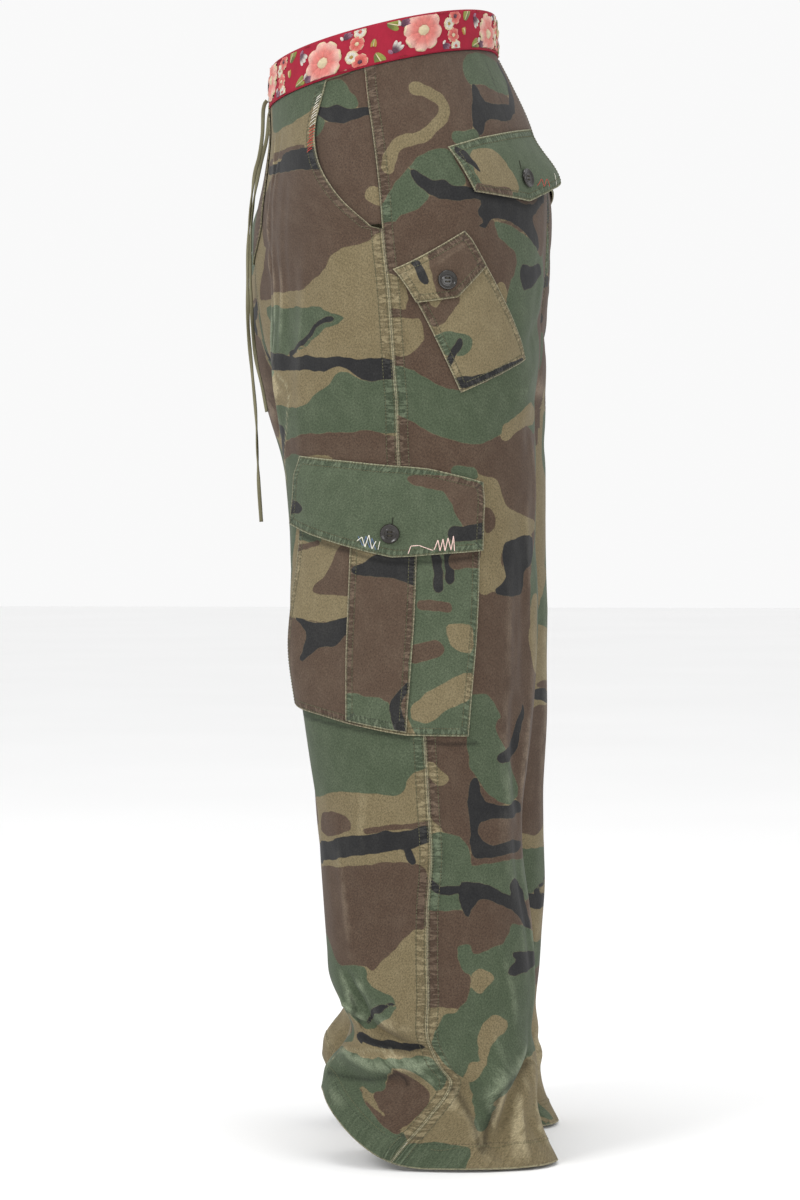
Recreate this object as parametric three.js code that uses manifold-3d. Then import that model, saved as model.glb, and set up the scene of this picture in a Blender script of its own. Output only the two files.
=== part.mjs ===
// Cargo trousers in printed cotton, hollow and standing as they are worn, with a wide leg that breaks
// at the hem, slanted front pockets, back pocket flaps, pleated cargo pockets, one small tilted pocket
// on the left hip, an embroidered waistband and a drawstring. Millimetres, +Z up, the front faces -Y,
// the wearer's left is +X, and the origin is the middle of the waist at half the band's height.
import * as THREE from "three";
import { mergeVertices } from "three/addons/utils/BufferGeometryUtils.js";
import Module from "manifold-3d";

const wasm = await Module();
wasm.setup();

// Driving dimensions
const cloth = 1.2; // thickness of the cotton wall
const seamGap = 0.3; // between two pieces that are sewn together
const seat = 0.7; // from a panel to the piece that lies on it
const bandHeight = 40;
const bandThickness = 2.4;
const bandProud = 1.2; // the band stands this far out of the panels
const waistZ = -19.5; // where the panels meet the band, at the middle of the waist
const crotchZ = -345;
const hemZ = -1087;
const hemRise = 69; // the front of the hem rides up this far over the foot
const liftFrom = -850; // above this height the rows of cloth stay level
const flyBulge = 8;
const buttonWidth = 19;
const buttonThickness = 3;
const cordWidth = 4;
const cordThickness = 2.4;

// The rings of one leg, from the waist to the hem. outX and inX are the ring's widest reach from the
// centre plane, which cuts the rings above the crotch. front and back are the mean of both legs, and a
// step moves the left leg back and the right leg forward. power is the ring's squareness.
const rings = table(
  ["z", "tilt", "outX", "inX", "front", "back", "stepFront", "stepBack", "power", "seamY"],
  [
    [-19.5, 0.242, 156, -156, -108.5, 119, 0, 0, 2.1, 0],
    [-50, 0.225, 168, -152, -107.5, 134, 2, 0, 2.15, 3],
    [-90, 0.17, 184, -146, -113.5, 154, 9, 0, 2.2, 6],
    [-140, 0.1, 201, -138, -121, 169, 15, 0, 2.2, 10],
    [-190, 0.04, 211, -126, -121, 171.5, 17.5, 0, 2.2, 14],
    [-240, 0.01, 214, -103, -119, 169, 21, 0, 2.25, 18],
    [-290, 0, 212, -66, -116, 166, 20.5, 0, 2.3, 22],
    [-325, 0, 210, -26, -111, 164, 19, 0, 2.3, 25],
    [-345, 0, 208, 0.15, -107, 163.5, 18, 0, 2.3, 27],
    [-400, 0, 206, 3, -96, 164, 13, 0, 2.3, 31],
    [-480, 0, 203, 7, -88, 163.5, 12, 0, 2.3, 40],
    [-540, 0, 200, 10, -84, 164, 12, 0, 2.3, 46],
    [-640, 0, 195, 16, -76, 159.5, 12, 0.5, 2.3, 55],
    [-736, 0, 190, 23, -64, 155, 12, 3, 2.3, 62],
    [-785, 0, 188, 27, -60, 156, 12, 4, 2.3, 65],
    [-834, 0, 186, 31, -56, 161, 12, 2.5, 2.3, 60],
    [-884, 0, 184, 36, -53, 161.5, 12, -1.5, 2.3, 57],
    [-920, 0, 183, 39, -51, 160, 12, -3, 2.3, 57],
    [-960, 0, 181, 43, -41, 156.5, 12, -3.5, 2.3, 56],
    [-985, 0, 181, 44, -32, 160, 12, -5, 2.3, 66],
    [-1005, 0, 182, 44, -30, 160, 12, -7, 2.3, 77],
    [-1040, 0, 182, 46, -37, 163, 12, -5, 2.3, 54],
    [-1065, 0, 181, 47, -54, 171, 12, -5, 2.3, 33],
    [-1087, 0, 184, 48, -58, 182, 12, -5, 2.3, 18],
  ],
);

// The largest folds, each a ridge (depth over 0) or a trough along a straight line on the cloth.
// A turn is the place round the leg in degrees: 0 outermost, 90 back, -90 front, 180 inside.
// side is 1 for the left leg, -1 for the right one and 0 for both.
const folds = table(
  ["side", "turn1", "z1", "turn2", "z2", "depth", "width"],
  [
    [0, -70, -505, -66, -632, 8, 32], // what fills the cargo pocket's front edge
    [1, 66, -470, 74, -650, -6, 20], // long trough near the back of the leg
    [1, 62, -640, 74, -745, -7, 14],
    [1, 90, -520, 92, -700, 5, 24],
    [1, 50, -690, 56, -830, 4, 20],
    [1, 94, -255, 66, -292, -4, 12], // under the seat
    [1, 40, -340, 84, -372, -4, 18],
    [1, -11, -822, -26, -900, -4, 14], // down to the break of the front
    [1, -44, -912, -34, -956, -5, 12],
    [1, -46, -964, 0, -970, -8, 12], // the tuck over the foot
    [1, -84, -1048, -28, -991, 9, 15], // the roll below it
    [1, -26, -989, 4, -981, 6, 12],
    [1, -80, -1074, -12, -1007, -7, 12],
    [1, 4, -988, 27, -1036, -7, 12], // the pointed fold behind the seam
    [1, 27, -1036, 33, -1072, -6, 12],
    [1, 36, -975, 32, -1045, 8, 16],
    [1, 84, -982, 46, -1020, -9, 12],
    [1, 46, -1020, 34, -1070, -9, 12],
    [1, 72, -1020, 84, -1075, 4, 16],
    [1, 150, -960, 100, -1040, -7, 18],
    [1, -150, -985, -105, -1030, 8, 18],
    [1, 178, -700, 165, -930, 4, 22],
    [-1, 70, -480, 62, -700, -6, 22],
    [-1, 88, -560, 96, -790, 5, 24],
    [-1, 45, -660, 52, -860, 4, 22],
    [-1, 96, -262, 60, -300, -4, 13],
    [-1, 44, -352, 86, -380, -4, 18],
    [-1, -14, -800, -30, -905, -4, 15],
    [-1, -48, -915, -40, -965, -5, 13],
    [-1, -60, -978, -14, -984, -9, 14],
    [-1, -84, -1046, -20, -1006, 9, 18],
    [-1, -58, -1072, -16, -1036, -5, 11],
    [-1, 6, -968, 34, -1052, -7, 14],
    [-1, 44, -970, 34, -1038, 6, 18],
    [-1, 74, -978, 36, -1070, -8, 14],
    [-1, 92, -1000, 96, -1030, 8, 18],
    [-1, 146, -950, 104, -1046, -6, 18],
    [-1, -146, -975, -104, -1024, 7, 18],
    [-1, 176, -690, 168, -920, 4, 22],
    [0, -64, -250, -76, -380, 4, 18], // slack in front of the hip
    [0, -50, -215, -58, -330, -3, 16],
  ],
);

// A table is rows of numbers under named columns.
function table(columns, rows) {
  return rows.map((row) => Object.fromEntries(columns.map((name, i) => [name, row[i]])));
}

const clamp = THREE.MathUtils.clamp;
const radians = THREE.MathUtils.degToRad;
const degrees = THREE.MathUtils.radToDeg;
const mix = THREE.MathUtils.lerp;

function smooth(t) {
  const s = clamp(t, 0, 1);
  return s * s * (3 - 2 * s);
}

function signedPower(value, power) {
  return Math.sign(value) * Math.abs(value) ** power;
}

// The ring at a height, between the rows of the table on a smooth cubic.
function ringAt(z) {
  let i = rings.findIndex((row) => row.z < z) - 1;
  i = i < -1 ? rings.length - 2 : Math.max(i, 0);
  const [before, a, b, after] = [
    rings[Math.max(i - 1, 0)],
    rings[i],
    rings[i + 1],
    rings[Math.min(i + 2, rings.length - 1)],
  ];
  const h = a.z - b.z;
  const t = clamp((a.z - z) / h, 0, 1);
  const ring = {};
  for (const name of Object.keys(a)) {
    const slopeA = (b[name] - before[name]) / (before.z - b.z);
    const slopeB = (after[name] - a[name]) / (a.z - after.z);
    ring[name] =
      (2 * t - 3) * t * t * a[name] +
      a[name] +
      ((t - 2) * t + 1) * t * h * slopeA +
      (3 - 2 * t) * t * t * b[name] +
      (t - 1) * t * t * h * slopeB;
  }
  ring.centreX = (ring.outX + ring.inX) / 2;
  ring.halfWidth = (ring.outX - ring.inX) / 2;
  ring.centreY = (ring.front + ring.back) / 2;
  ring.halfDepth = (ring.back - ring.front) / 2;
  return ring;
}

// A point of the smooth outer surface, on the side 1 (left) or -1 (right).
function plainPoint(side, turn, z) {
  const ring = ringAt(z);
  const sine = Math.sin(radians(turn));
  const across = signedPower(Math.cos(radians(turn)), 2 / ring.power);
  const along = signedPower(sine, 2 / ring.power);
  const x = ring.centreX + ring.halfWidth * across;
  const apart = smooth(x / 70) * side;
  const step = ((1 - along) / 2) * ring.stepFront - ((1 + along) / 2) * ring.stepBack;
  const fly = flyBulge * smooth((-90 - z) / 130) * smooth((z - crotchZ) / 70);
  const y =
    ring.centreY +
    ring.halfDepth * along +
    apart * step -
    fly * Math.exp(-((x / 30) ** 2)) * clamp(-3 * along, 0, 1);
  const lift = smooth((liftFrom - z) / (liftFrom - hemZ));
  const rise = lift * hemRise * clamp(-sine, 0, 1) ** 2.2;
  return new THREE.Vector3(side * x, y, z + ring.tilt * (y - 3) + rise);
}

// The outward normal of a surface at(turn, z), from points a little to each side.
function normalOf(at, side, turn, z) {
  const down = Math.max(z - 1, hemZ);
  const up = Math.min(z + 1, waistZ);
  const alongTurn = at(turn + 0.5, z).sub(at(turn - 0.5, z));
  const alongZ = at(turn, up).sub(at(turn, down));
  return alongTurn.cross(alongZ).multiplyScalar(side).normalize();
}

// How far the folds push the cloth out, fading at the centre seams so that both sides meet.
function foldHeight(side, turn, z, x) {
  const wide = ringAt(z).halfWidth + ringAt(z).halfDepth;
  const perDegree = radians(wide / 2);
  let height = 0;
  for (const fold of folds) {
    if (fold.side && fold.side !== side) continue;
    const dx = (fold.turn2 - fold.turn1) * perDegree;
    const dz = fold.z2 - fold.z1;
    let offTurn = turn - fold.turn1;
    if (offTurn > 200) offTurn -= 360;
    if (offTurn < -200) offTurn += 360;
    const px = offTurn * perDegree;
    const pz = z - fold.z1;
    const t = clamp((px * dx + pz * dz) / (dx * dx + dz * dz), 0, 1);
    const off = Math.hypot(px - t * dx, pz - t * dz);
    const swell = 0.4 + 0.6 * Math.sin(Math.PI * t);
    height += fold.depth * swell * Math.exp(-((off / fold.width) ** 2));
  }
  return height * smooth((x - 1) / 25);
}

// A point of the folded cloth, moved out of its outer surface by an offset.
function foldedPoint(side, turn, z) {
  const at = (t, h) => plainPoint(side, t, h);
  const point = at(turn, z);
  const out = normalOf(at, side, turn, z);
  return point.addScaledVector(out, foldHeight(side, turn, z, Math.abs(point.x)));
}

function clothPoint(side, turn, z, offset = 0) {
  const at = (t, h) => foldedPoint(side, t, h);
  const point = at(turn, z);
  if (!offset) return point;
  return point.addScaledVector(normalOf(at, side, turn, z), offset);
}

// The turn of the side seam, of the centre seam or inseam, and of a distance from the centre plane.
function seamTurn(z) {
  const ring = ringAt(z);
  return degrees(Math.asin(signedPower((ring.seamY - ring.centreY) / ring.halfDepth, ring.power / 2)));
}

function turnAtX(x, z) {
  const ring = ringAt(z);
  return degrees(Math.acos(clamp(signedPower((x - ring.centreX) / ring.halfWidth, ring.power / 2), -1, 1)));
}

function endTurn(z) {
  return z > crotchZ ? turnAtX(seamGap / 2, z) : 180;
}

// Degrees of turn that make one millimetre along the ring.
function degreesPerMm(side, turn, z) {
  return 1 / foldedPoint(side, turn + 0.5, z).distanceTo(foldedPoint(side, turn - 0.5, z));
}

// A closed wall between an outer and an inner grid of points, both grid[row][column].
// The columns run left to right and the rows run down, seen from outside.
function wall(outer, inner) {
  const rows = outer.length;
  const columns = outer[0].length;
  const positions = [...outer.flat(), ...inner.flat()].flatMap((p) => [p.x, p.y, p.z]);
  const index = [];
  const at = (layer, r, c) => layer * rows * columns + r * columns + c;
  const quad = (a, b, c, d) => index.push(a, b, c, a, c, d);
  for (let r = 0; r + 1 < rows; r++)
    for (let c = 0; c + 1 < columns; c++) {
      quad(at(0, r, c), at(0, r + 1, c), at(0, r + 1, c + 1), at(0, r, c + 1));
      quad(at(1, r, c), at(1, r, c + 1), at(1, r + 1, c + 1), at(1, r + 1, c));
    }
  for (let r = 0; r + 1 < rows; r++) {
    quad(at(0, r, 0), at(1, r, 0), at(1, r + 1, 0), at(0, r + 1, 0));
    quad(at(0, r + 1, columns - 1), at(1, r + 1, columns - 1), at(1, r, columns - 1), at(0, r, columns - 1));
  }
  for (let c = 0; c + 1 < columns; c++) {
    quad(at(0, 0, c + 1), at(1, 0, c + 1), at(1, 0, c), at(0, 0, c));
    quad(at(0, rows - 1, c), at(1, rows - 1, c), at(1, rows - 1, c + 1), at(0, rows - 1, c + 1));
  }
  const geometry = new THREE.BufferGeometry();
  geometry.setAttribute("position", new THREE.Float32BufferAttribute(positions, 3));
  geometry.setIndex(index);
  return geometry;
}

// A wall over the cloth. place(u, v) gives [turn, z, offset] of its outer face, u across and v down.
function clothWall(side, columns, rows, place, thickness = cloth) {
  const grid = (depth) =>
    Array.from({ length: rows + 1 }, (_, r) =>
      Array.from({ length: columns + 1 }, (_, c) => {
        const u = side > 0 ? c / columns : 1 - c / columns;
        const [turn, z, offset] = place(u, r / rows);
        return clothPoint(side, turn, z, offset - depth || 1e-6);
      }),
    );
  return wall(grid(0), grid(thickness));
}

// The heights of the rows of a panel: close together at the crotch and where the hem breaks.
const panelHeights = [
  ...spaced(waistZ - seamGap, -240, 6),
  ...spaced(-240, crotchZ, 6),
  ...spaced(crotchZ, -840, 12),
  ...spaced(-840, -940, 4),
  ...spaced(-940, hemZ, 11),
  hemZ,
];

function spaced(from, to, count) {
  return Array.from({ length: count }, (_, i) => mix(from, to, i / count));
}

function panelWall(side, columns, edges, offset = () => 0) {
  const rows = panelHeights.length - 1;
  return clothWall(side, columns, rows, (u, v) => {
    const z = panelHeights[Math.round(v * rows)];
    const [from, to] = edges(z);
    const start = from + (seamGap / 2) * degreesPerMm(side, from, z);
    const end = to - (seamGap / 2) * degreesPerMm(side, to, z);
    return [mix(start, end, u), z, offset(u, z)];
  });
}

// The slanted mouth of the front pocket, from the band down to the side seam
const mouthLow = -179;
const mouthLift = 2.6; // the worn mouth gapes this far
const mouthLine = new THREE.CatmullRomCurve3(
  [
    [-21, waistZ],
    [-30, -62],
    [-29.5, -103],
    [-20, -145],
    [-7, mouthLow],
  ].map(([turn, z]) => new THREE.Vector3(turn, 0, z)),
);

function mouthTurn(z) {
  const points = mouthLine.getPoints(60);
  const i = Math.max(1, points.findIndex((p) => p.z <= z));
  const [a, b] = [points[i - 1], points[i]];
  return mix(a.x, b.x, clamp((a.z - z) / (a.z - b.z), 0, 1));
}

function frontEdge(z) {
  return z > mouthLow ? Math.min(mouthTurn(z), seamTurn(z)) : seamTurn(z);
}

// A piece that lies on the cloth, between an upper and a lower line of [turn, z] points. rise(u, v) is
// what it stands out by beyond its seat.
function patch(side, columns, rows, upper, lower, rise) {
  const along = (line, u) => {
    const t = u * (line.length - 1);
    const i = Math.min(Math.floor(t), line.length - 2);
    return [mix(line[i][0], line[i + 1][0], t - i), mix(line[i][1], line[i + 1][1], t - i)];
  };
  return clothWall(side, columns, rows, (u, v) => {
    const [top, low] = [along(upper, u), along(lower, u)];
    return [mix(top[0], low[0], v), mix(top[1], low[1], v), seat + cloth + rise(u, v)];
  });
}

const hump = (u, v) => Math.sqrt(Math.max(0, Math.sin(Math.PI * u) * Math.sin(Math.PI * v)));

// Colours
const material = (color, roughness) => new THREE.MeshStandardMaterial({ color, roughness, metalness: 0 });
const olive = material("#5f6148", 0.9);
const brown = material("#5e4b3f", 0.9);
const green = material("#55694c", 0.9);
const red = material("#b02a38", 0.85);
const horn = material("#34302b", 0.45);
const tape = material("#6d6a50", 0.9);

const trousers = new THREE.Group();

function add(name, geometry, finish) {
  geometry.computeVertexNormals();
  const mesh = new THREE.Mesh(geometry, finish);
  mesh.name = name;
  trousers.add(mesh);
}

// Panels, and the facing that shows in the pocket mouth
for (const [side, label] of [
  [1, "left"],
  [-1, "right"],
]) {
  const gape = (u, z) =>
    mouthLift * smooth((u - 0.55) / 0.4) * smooth((waistZ - 12 - z) / 60) * smooth((z - mouthLow + 4) / 30);
  add(`front_${label}`, panelWall(side, 11, (z) => [-endTurn(z), frontEdge(z)], gape), olive);
  add(`back_${label}`, panelWall(side, 11, (z) => [seamTurn(z), endTurn(z)]), brown);

  const facing = (u, v) => {
    const z = mix(waistZ - seamGap, mouthLow + 3, v);
    const inset = seamGap * degreesPerMm(side, seamTurn(z), z);
    const under = -(cloth + 0.5) * (1 - smooth((u - 0.55) / 0.4));
    return [mix(frontEdge(z) - 5, seamTurn(z) - inset, u), z, Math.min(under, -0.02)];
  };
  add(`pocket_facing_${label}`, clothWall(side, 5, 9, facing), red);
}

// Fly flap, on the left front from the centre seam
const flyWidth = 38;
const flyLow = -196;
add(
  "fly",
  clothWall(1, 4, 8, (u, v) => {
    const z = mix(waistZ - 1, flyLow, v);
    const width = flyWidth * Math.sqrt(1 - 0.95 * smooth((v - 0.6) / 0.4) ** 2);
    return [-mix(turnAtX(0.5, z), turnAtX(width, z), u), z, seat + 0.3 + cloth];
  }),
  olive,
);

// Waistband: one strip round the waist whose left end lies over its right end at the front
const bandEnd = 3.5; // degrees that each end runs past the centre front
const bandDip = 5; // degrees over which the right end dips under the left one
const bandLap = bandThickness + 0.5;

function bandPoint(turn, rise, offset) {
  const ring = ringAt(waistZ);
  const lean = 1 - (0.02 * rise) / bandHeight;
  const reach = 1 + offset / ring.halfWidth;
  const x = ring.halfWidth * lean * reach * signedPower(Math.cos(radians(turn)), 2 / ring.power);
  const deep = (ring.halfDepth * lean + offset) * signedPower(Math.sin(radians(turn)), 2 / ring.power);
  const y = ring.centreY + deep;
  return new THREE.Vector3(x, y, waistZ + rise + ring.tilt * (y - 3));
}

const bandStrip = (offset, columns = 72, rows = 2) =>
  Array.from({ length: rows + 1 }, (_, r) =>
    Array.from({ length: columns + 1 }, (_, c) => {
      const turn = mix(-90 - bandEnd, 270 + bandEnd, c / columns);
      const under = bandLap * smooth((turn - 270 + bandEnd + bandDip) / bandDip);
      return bandPoint(turn, mix(bandHeight, 0, r / rows), offset - under);
    }),
  );
add("waistband", wall(bandStrip(bandProud), bandStrip(bandProud - bandThickness)), red);

// Back pocket flaps, hip pocket and cargo pockets: [turn, z] of their upper and lower lines
const backFlap = {
  upper: [
    [22, -111.5],
    [37, -105.5],
    [58.5, -100.5],
    [80, -96],
  ],
  lower: [
    [31, -152.6],
    [46, -156.5],
    [62, -159.6],
    [90, -141],
  ],
};
const hipPocket = {
  upper: [
    [2.5, -230],
    [29.5, -196],
  ],
  lower: [
    [25, -336.6],
    [64.5, -302.6],
  ],
};
const hipFlap = {
  upper: [
    [-0.5, -219.6],
    [13, -202.6],
    [26.5, -185.6],
  ],
  lower: [
    [6.5, -251.6],
    [23, -246.6],
    [35.5, -217.6],
  ],
};
const cargoPocket = {
  upper: [
    [-52, -408],
    [-22, -414],
    [8, -421],
    [34.5, -434],
  ],
  lower: [
    [-76, -637],
    [-30.5, -655],
    [-1, -666],
    [27.5, -667],
  ],
};
const cargoPleat = {
  upper: [
    [-20, -432],
    [5.5, -436],
  ],
  lower: [
    [-30.5, -652],
    [-1, -663],
  ],
};
const cargoFlap = {
  upper: [
    [-51, -396],
    [-20, -402],
    [9.5, -409],
    [35.5, -422],
  ],
  lower: [
    [-64, -462],
    [-34, -478],
    [-4.5, -494],
    [33.5, -488],
  ],
};
const pocketSwell = 1.8;
const frontStand = 5; // the cargo pocket's front edge stands this far off the leg towards its foot
const pleatRise = pocketSwell + cloth + 0.6;
const flapRise = pleatRise + cloth + 0.8;

// A round four-hole button on the cloth, standing on its rise at [turn, z]
function buttonGeometry() {
  const r = buttonWidth / 2;
  const profile = [
    [0, 0],
    [r * 0.8, 0],
    [r, buttonThickness * 0.4],
    [r, buttonThickness * 0.75],
    [r * 0.9, buttonThickness],
    [r * 0.66, buttonThickness * 0.62],
    [0, buttonThickness * 0.55],
  ].map(([x, y]) => new THREE.Vector2(x, y));
  let body = solidOf(new THREE.LatheGeometry(profile, 16));
  for (let i = 0; i < 4; i++) {
    const hole = new THREE.CylinderGeometry(1, 1, 3 * buttonThickness, 6);
    const at = radians(45 + 90 * i);
    body = body.subtract(solidOf(hole.translate(2.4 * Math.cos(at), 0, 2.4 * Math.sin(at))));
  }
  return geometryOf(body).rotateX(Math.PI / 2);
}

function solidOf(geometry) {
  geometry.deleteAttribute("normal");
  geometry.deleteAttribute("uv");
  const merged = mergeVertices(geometry, 1e-4);
  return new wasm.Manifold(
    new wasm.Mesh({
      numProp: 3,
      vertProperties: merged.attributes.position.array,
      triVerts: new Uint32Array(merged.index.array),
    }),
  );
}

function geometryOf(solid) {
  const mesh = solid.getMesh();
  const geometry = new THREE.BufferGeometry();
  geometry.setAttribute("position", new THREE.BufferAttribute(mesh.vertProperties, 3));
  geometry.setIndex(new THREE.BufferAttribute(mesh.triVerts, 1));
  return geometry;
}

// Turns a geometry that faces +Z so that it faces along a normal, and moves it to a point.
function facing(geometry, point, normal) {
  const turn = new THREE.Quaternion().setFromUnitVectors(new THREE.Vector3(0, 0, 1), normal);
  return geometry.applyQuaternion(turn).translate(point.x, point.y, point.z);
}

function addButton(name, side, turn, z, rise) {
  const at = (t, h) => foldedPoint(side, t, h);
  const point = clothPoint(side, turn, z, seat + cloth + rise + 0.45);
  add(name, facing(buttonGeometry(), point, normalOf(at, side, turn, z)), horn);
}

for (const [side, label] of [
  [1, "left"],
  [-1, "right"],
]) {
  const cornerLift = side > 0 ? 13 : 2; // the left flap's rear corner stands off the seat
  const backRise = (u, v) =>
    1.6 * smooth(v / 0.4) + cornerLift * smooth((u - 0.62) / 0.38) * smooth((v - 0.2) / 0.8);
  add(`back_flap_${label}`, patch(side, 9, 4, backFlap.upper, backFlap.lower, backRise), green);
  addButton(`back_button_${label}`, side, 60.5, -141, side > 0 ? 2.2 : 1.7);

  const bodyRise = (u, v) => pocketSwell * hump(u, v) + frontStand * smooth(1 - u / 0.3) * smooth((v - 0.4) / 0.6);
  add(`cargo_pocket_${label}`, patch(side, 12, 12, cargoPocket.upper, cargoPocket.lower, bodyRise), brown);
  const pleatAt = (u, v) => cloth + 0.5 + pocketSwell * hump(0.35 + 0.3 * u, 0.06 + 0.9 * v);
  add(`cargo_pleat_${label}`, patch(side, 5, 12, cargoPleat.upper, cargoPleat.lower, pleatAt), olive);
  const flapAt = (u, v) => flapRise * smooth(v / 0.32);
  add(`cargo_flap_${label}`, patch(side, 12, 6, cargoFlap.upper, cargoFlap.lower, flapAt), green);
  addButton(`cargo_button_${label}`, side, -4.5, -471, flapRise);
}

const hipRise = (u, v) => pocketSwell * hump(u, v);
add("hip_pocket", patch(1, 8, 9, hipPocket.upper, hipPocket.lower, hipRise), olive);
const hipFlapRise = (u, v) => (pocketSwell + cloth + 0.8) * smooth(v / 0.3);
add("hip_pocket_flap", patch(1, 8, 5, hipFlap.upper, hipFlap.lower, hipFlapRise), brown);
addButton("hip_button", 1, 18.5, -230.6, pocketSwell + cloth + 0.8);

// Waist button, eyelets and drawstring
function onBand(turn, rise, offset) {
  const point = bandPoint(turn, rise, bandProud + offset);
  const across = bandPoint(turn + 1, rise, bandProud).sub(bandPoint(turn - 1, rise, bandProud));
  const up = bandPoint(turn, rise + 1, bandProud).sub(bandPoint(turn, rise - 1, bandProud));
  return [point, across.cross(up).normalize()];
}

const bandSeat = 0.45;
add("waist_button", facing(buttonGeometry(), ...onBand(-88.6, 27, bandSeat)), horn);

const eyeletOuter = 5.5;
const eyeletInner = 2.4;
const eyeletThickness = 1;
const eyeletProfile = [
  [eyeletInner, 0],
  [eyeletOuter, 0],
  [eyeletOuter - 0.5, eyeletThickness],
  [eyeletInner + 0.4, eyeletThickness],
  [eyeletInner, 0],
].map(([x, y]) => new THREE.Vector2(x, y));

// The routes of the drawstring's ends, [x, y, z] from the eyelet down
const cordRoutes = {
  left: [
    [22.5, -111.1, -36.5],
    [22.4, -113.2, -39.3],
    [22.2, -114.4, -43],
    [21.8, -115.2, -49],
    [20.5, -116.2, -71],
    [18.5, -119.5, -92],
    [17, -125, -113],
    [15, -130, -155],
    [14.5, -132, -193],
    [14, -132, -248],
    [14, -131, -274],
    [15, -127.5, -310],
    [16, -123.5, -354],
    [16.5, -122, -392],
    [17, -120.5, -425],
    [17.5, -118, -461],
  ],
  right: [
    [-29.5, -110.2, -36.5],
    [-29.2, -112.5, -39.3],
    [-28.6, -114.2, -43],
    [-27.4, -115.4, -49],
    [-24.8, -117.5, -71],
    [-21, -124, -100],
    [-19, -130, -135],
    [-18, -133.5, -180],
    [-18, -132.5, -240],
    [-17.5, -128.5, -290],
    [-17, -121, -325],
    [-16.5, -116.5, -349],
  ],
};
const cordSteps = 32;
const cordSection = new THREE.Shape(
  Array.from({ length: 8 }, (_, i) => {
    const at = radians(22.5 + 45 * i);
    return new THREE.Vector2((cordWidth / 2) * Math.cos(at), (cordThickness / 2) * Math.sin(at));
  }),
);

for (const [label, turn] of [
  ["left", -82.6],
  ["right", -100],
]) {
  const eyelet = new THREE.LatheGeometry(eyeletProfile, 16).rotateX(Math.PI / 2);
  add(`eyelet_${label}`, facing(geometryOf(solidOf(eyelet)), ...onBand(turn, 13, bandSeat)), tape);
  const route = cordRoutes[label].map(([x, y, z]) => new THREE.Vector3(x, y, z));
  const extrudePath = new THREE.CatmullRomCurve3(route, false, "centripetal");
  const cord = new THREE.ExtrudeGeometry(cordSection, { steps: cordSteps, extrudePath, curveSegments: 1 });
  add(`drawcord_${label}`, geometryOf(solidOf(cord)), tape);
}

export default trousers;
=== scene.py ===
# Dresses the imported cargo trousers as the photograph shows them: folded twill in a woodland print,
# an embroidered red waistband, sewn pockets with buttons, mended spots and a tape drawstring.
# Shapes are worked out in millimetres and turned to metres when a mesh is made.
import bpy
import numpy as np
from mathutils import Matrix, Vector


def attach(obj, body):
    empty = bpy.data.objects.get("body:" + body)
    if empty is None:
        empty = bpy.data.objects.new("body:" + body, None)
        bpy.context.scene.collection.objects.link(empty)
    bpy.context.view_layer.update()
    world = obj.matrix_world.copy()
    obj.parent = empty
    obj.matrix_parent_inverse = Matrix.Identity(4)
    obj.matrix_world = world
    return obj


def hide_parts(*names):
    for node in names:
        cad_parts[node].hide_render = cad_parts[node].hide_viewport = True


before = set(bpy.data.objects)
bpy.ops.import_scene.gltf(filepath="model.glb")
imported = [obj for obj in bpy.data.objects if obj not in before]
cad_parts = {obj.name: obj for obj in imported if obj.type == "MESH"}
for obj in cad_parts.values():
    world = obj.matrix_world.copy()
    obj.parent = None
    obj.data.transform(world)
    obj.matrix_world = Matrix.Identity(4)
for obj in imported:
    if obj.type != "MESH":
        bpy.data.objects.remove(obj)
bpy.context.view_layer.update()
metre = 0.001

# The photograph's view: the left side from 5 degrees behind, on a long lens. Pixels are counted in its
# 800 by 1200.
shot = {
    "place": np.array([3783.68, 352.41, -445.0]),
    "behind": 5.0,
    "focal": 3747.0,
    "middle": np.array([400.0, 600.0]),
    "horizonAbove": 94.0,
    "height": 1200.0,
    "sensor": 36.0,
    "pixel": 0.965,  # millimetres at the outer leg
}


# the view's right, up and forward directions
def shotAxes():
    yaw = np.radians(shot["behind"])
    pitch = np.arctan(shot["horizonAbove"] / shot["focal"])
    forward = np.array([-np.cos(yaw) * np.cos(pitch), -np.sin(yaw) * np.cos(pitch), -np.sin(pitch)])
    right = np.array([-np.sin(yaw), np.cos(yaw), 0.0])
    return right, np.cross(right, forward), forward


# px = middle + focal * (right, -up) / depth
def toPhoto(points):
    right, up, forward = shotAxes()
    away = points - shot["place"]
    depth = away @ forward
    flat = np.stack([away @ right, -(away @ up)], axis=-1)
    return shot["middle"] + shot["focal"] * flat / depth[..., None]


def makeCamera():
    data = bpy.data.cameras.new("photograph view")
    camera = bpy.data.objects.new("photograph view", data)
    bpy.context.collection.objects.link(camera)
    data.lens = shot["focal"] * shot["sensor"] / shot["height"]
    data.sensor_width = shot["sensor"]
    data.clip_start = 0.1
    data.clip_end = 50
    camera.location = shot["place"] * metre
    forward = Vector(shotAxes()[2])
    camera.rotation_euler = forward.to_track_quat("-Z", "Y").to_euler()
    bpy.context.scene.camera = camera


makeCamera()


# Numbers in space and noise

def smooth(t):
    s = np.clip(t, 0, 1)
    return s * s * (3 - 2 * s)


def signedPower(value, power):
    return np.sign(value) * np.abs(value) ** power


def mix(a, b, t):
    return a + (b - a) * t


# sum of sin(2 pi direction . place / wave + phase) / sqrt(count), over seeded directions
def softNoise(place, wave, seed, count=7):
    pick = np.random.default_rng(seed)
    directions = pick.normal(size=(count, place.shape[-1]))
    directions /= np.linalg.norm(directions, axis=1, keepdims=True)
    waves = wave * pick.uniform(0.75, 1.4, count)
    phases = pick.uniform(0, 2 * np.pi, count)
    turns = 2 * np.pi * (place @ directions.T) / waves + phases
    return np.sin(turns).sum(axis=-1) / np.sqrt(count)


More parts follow.
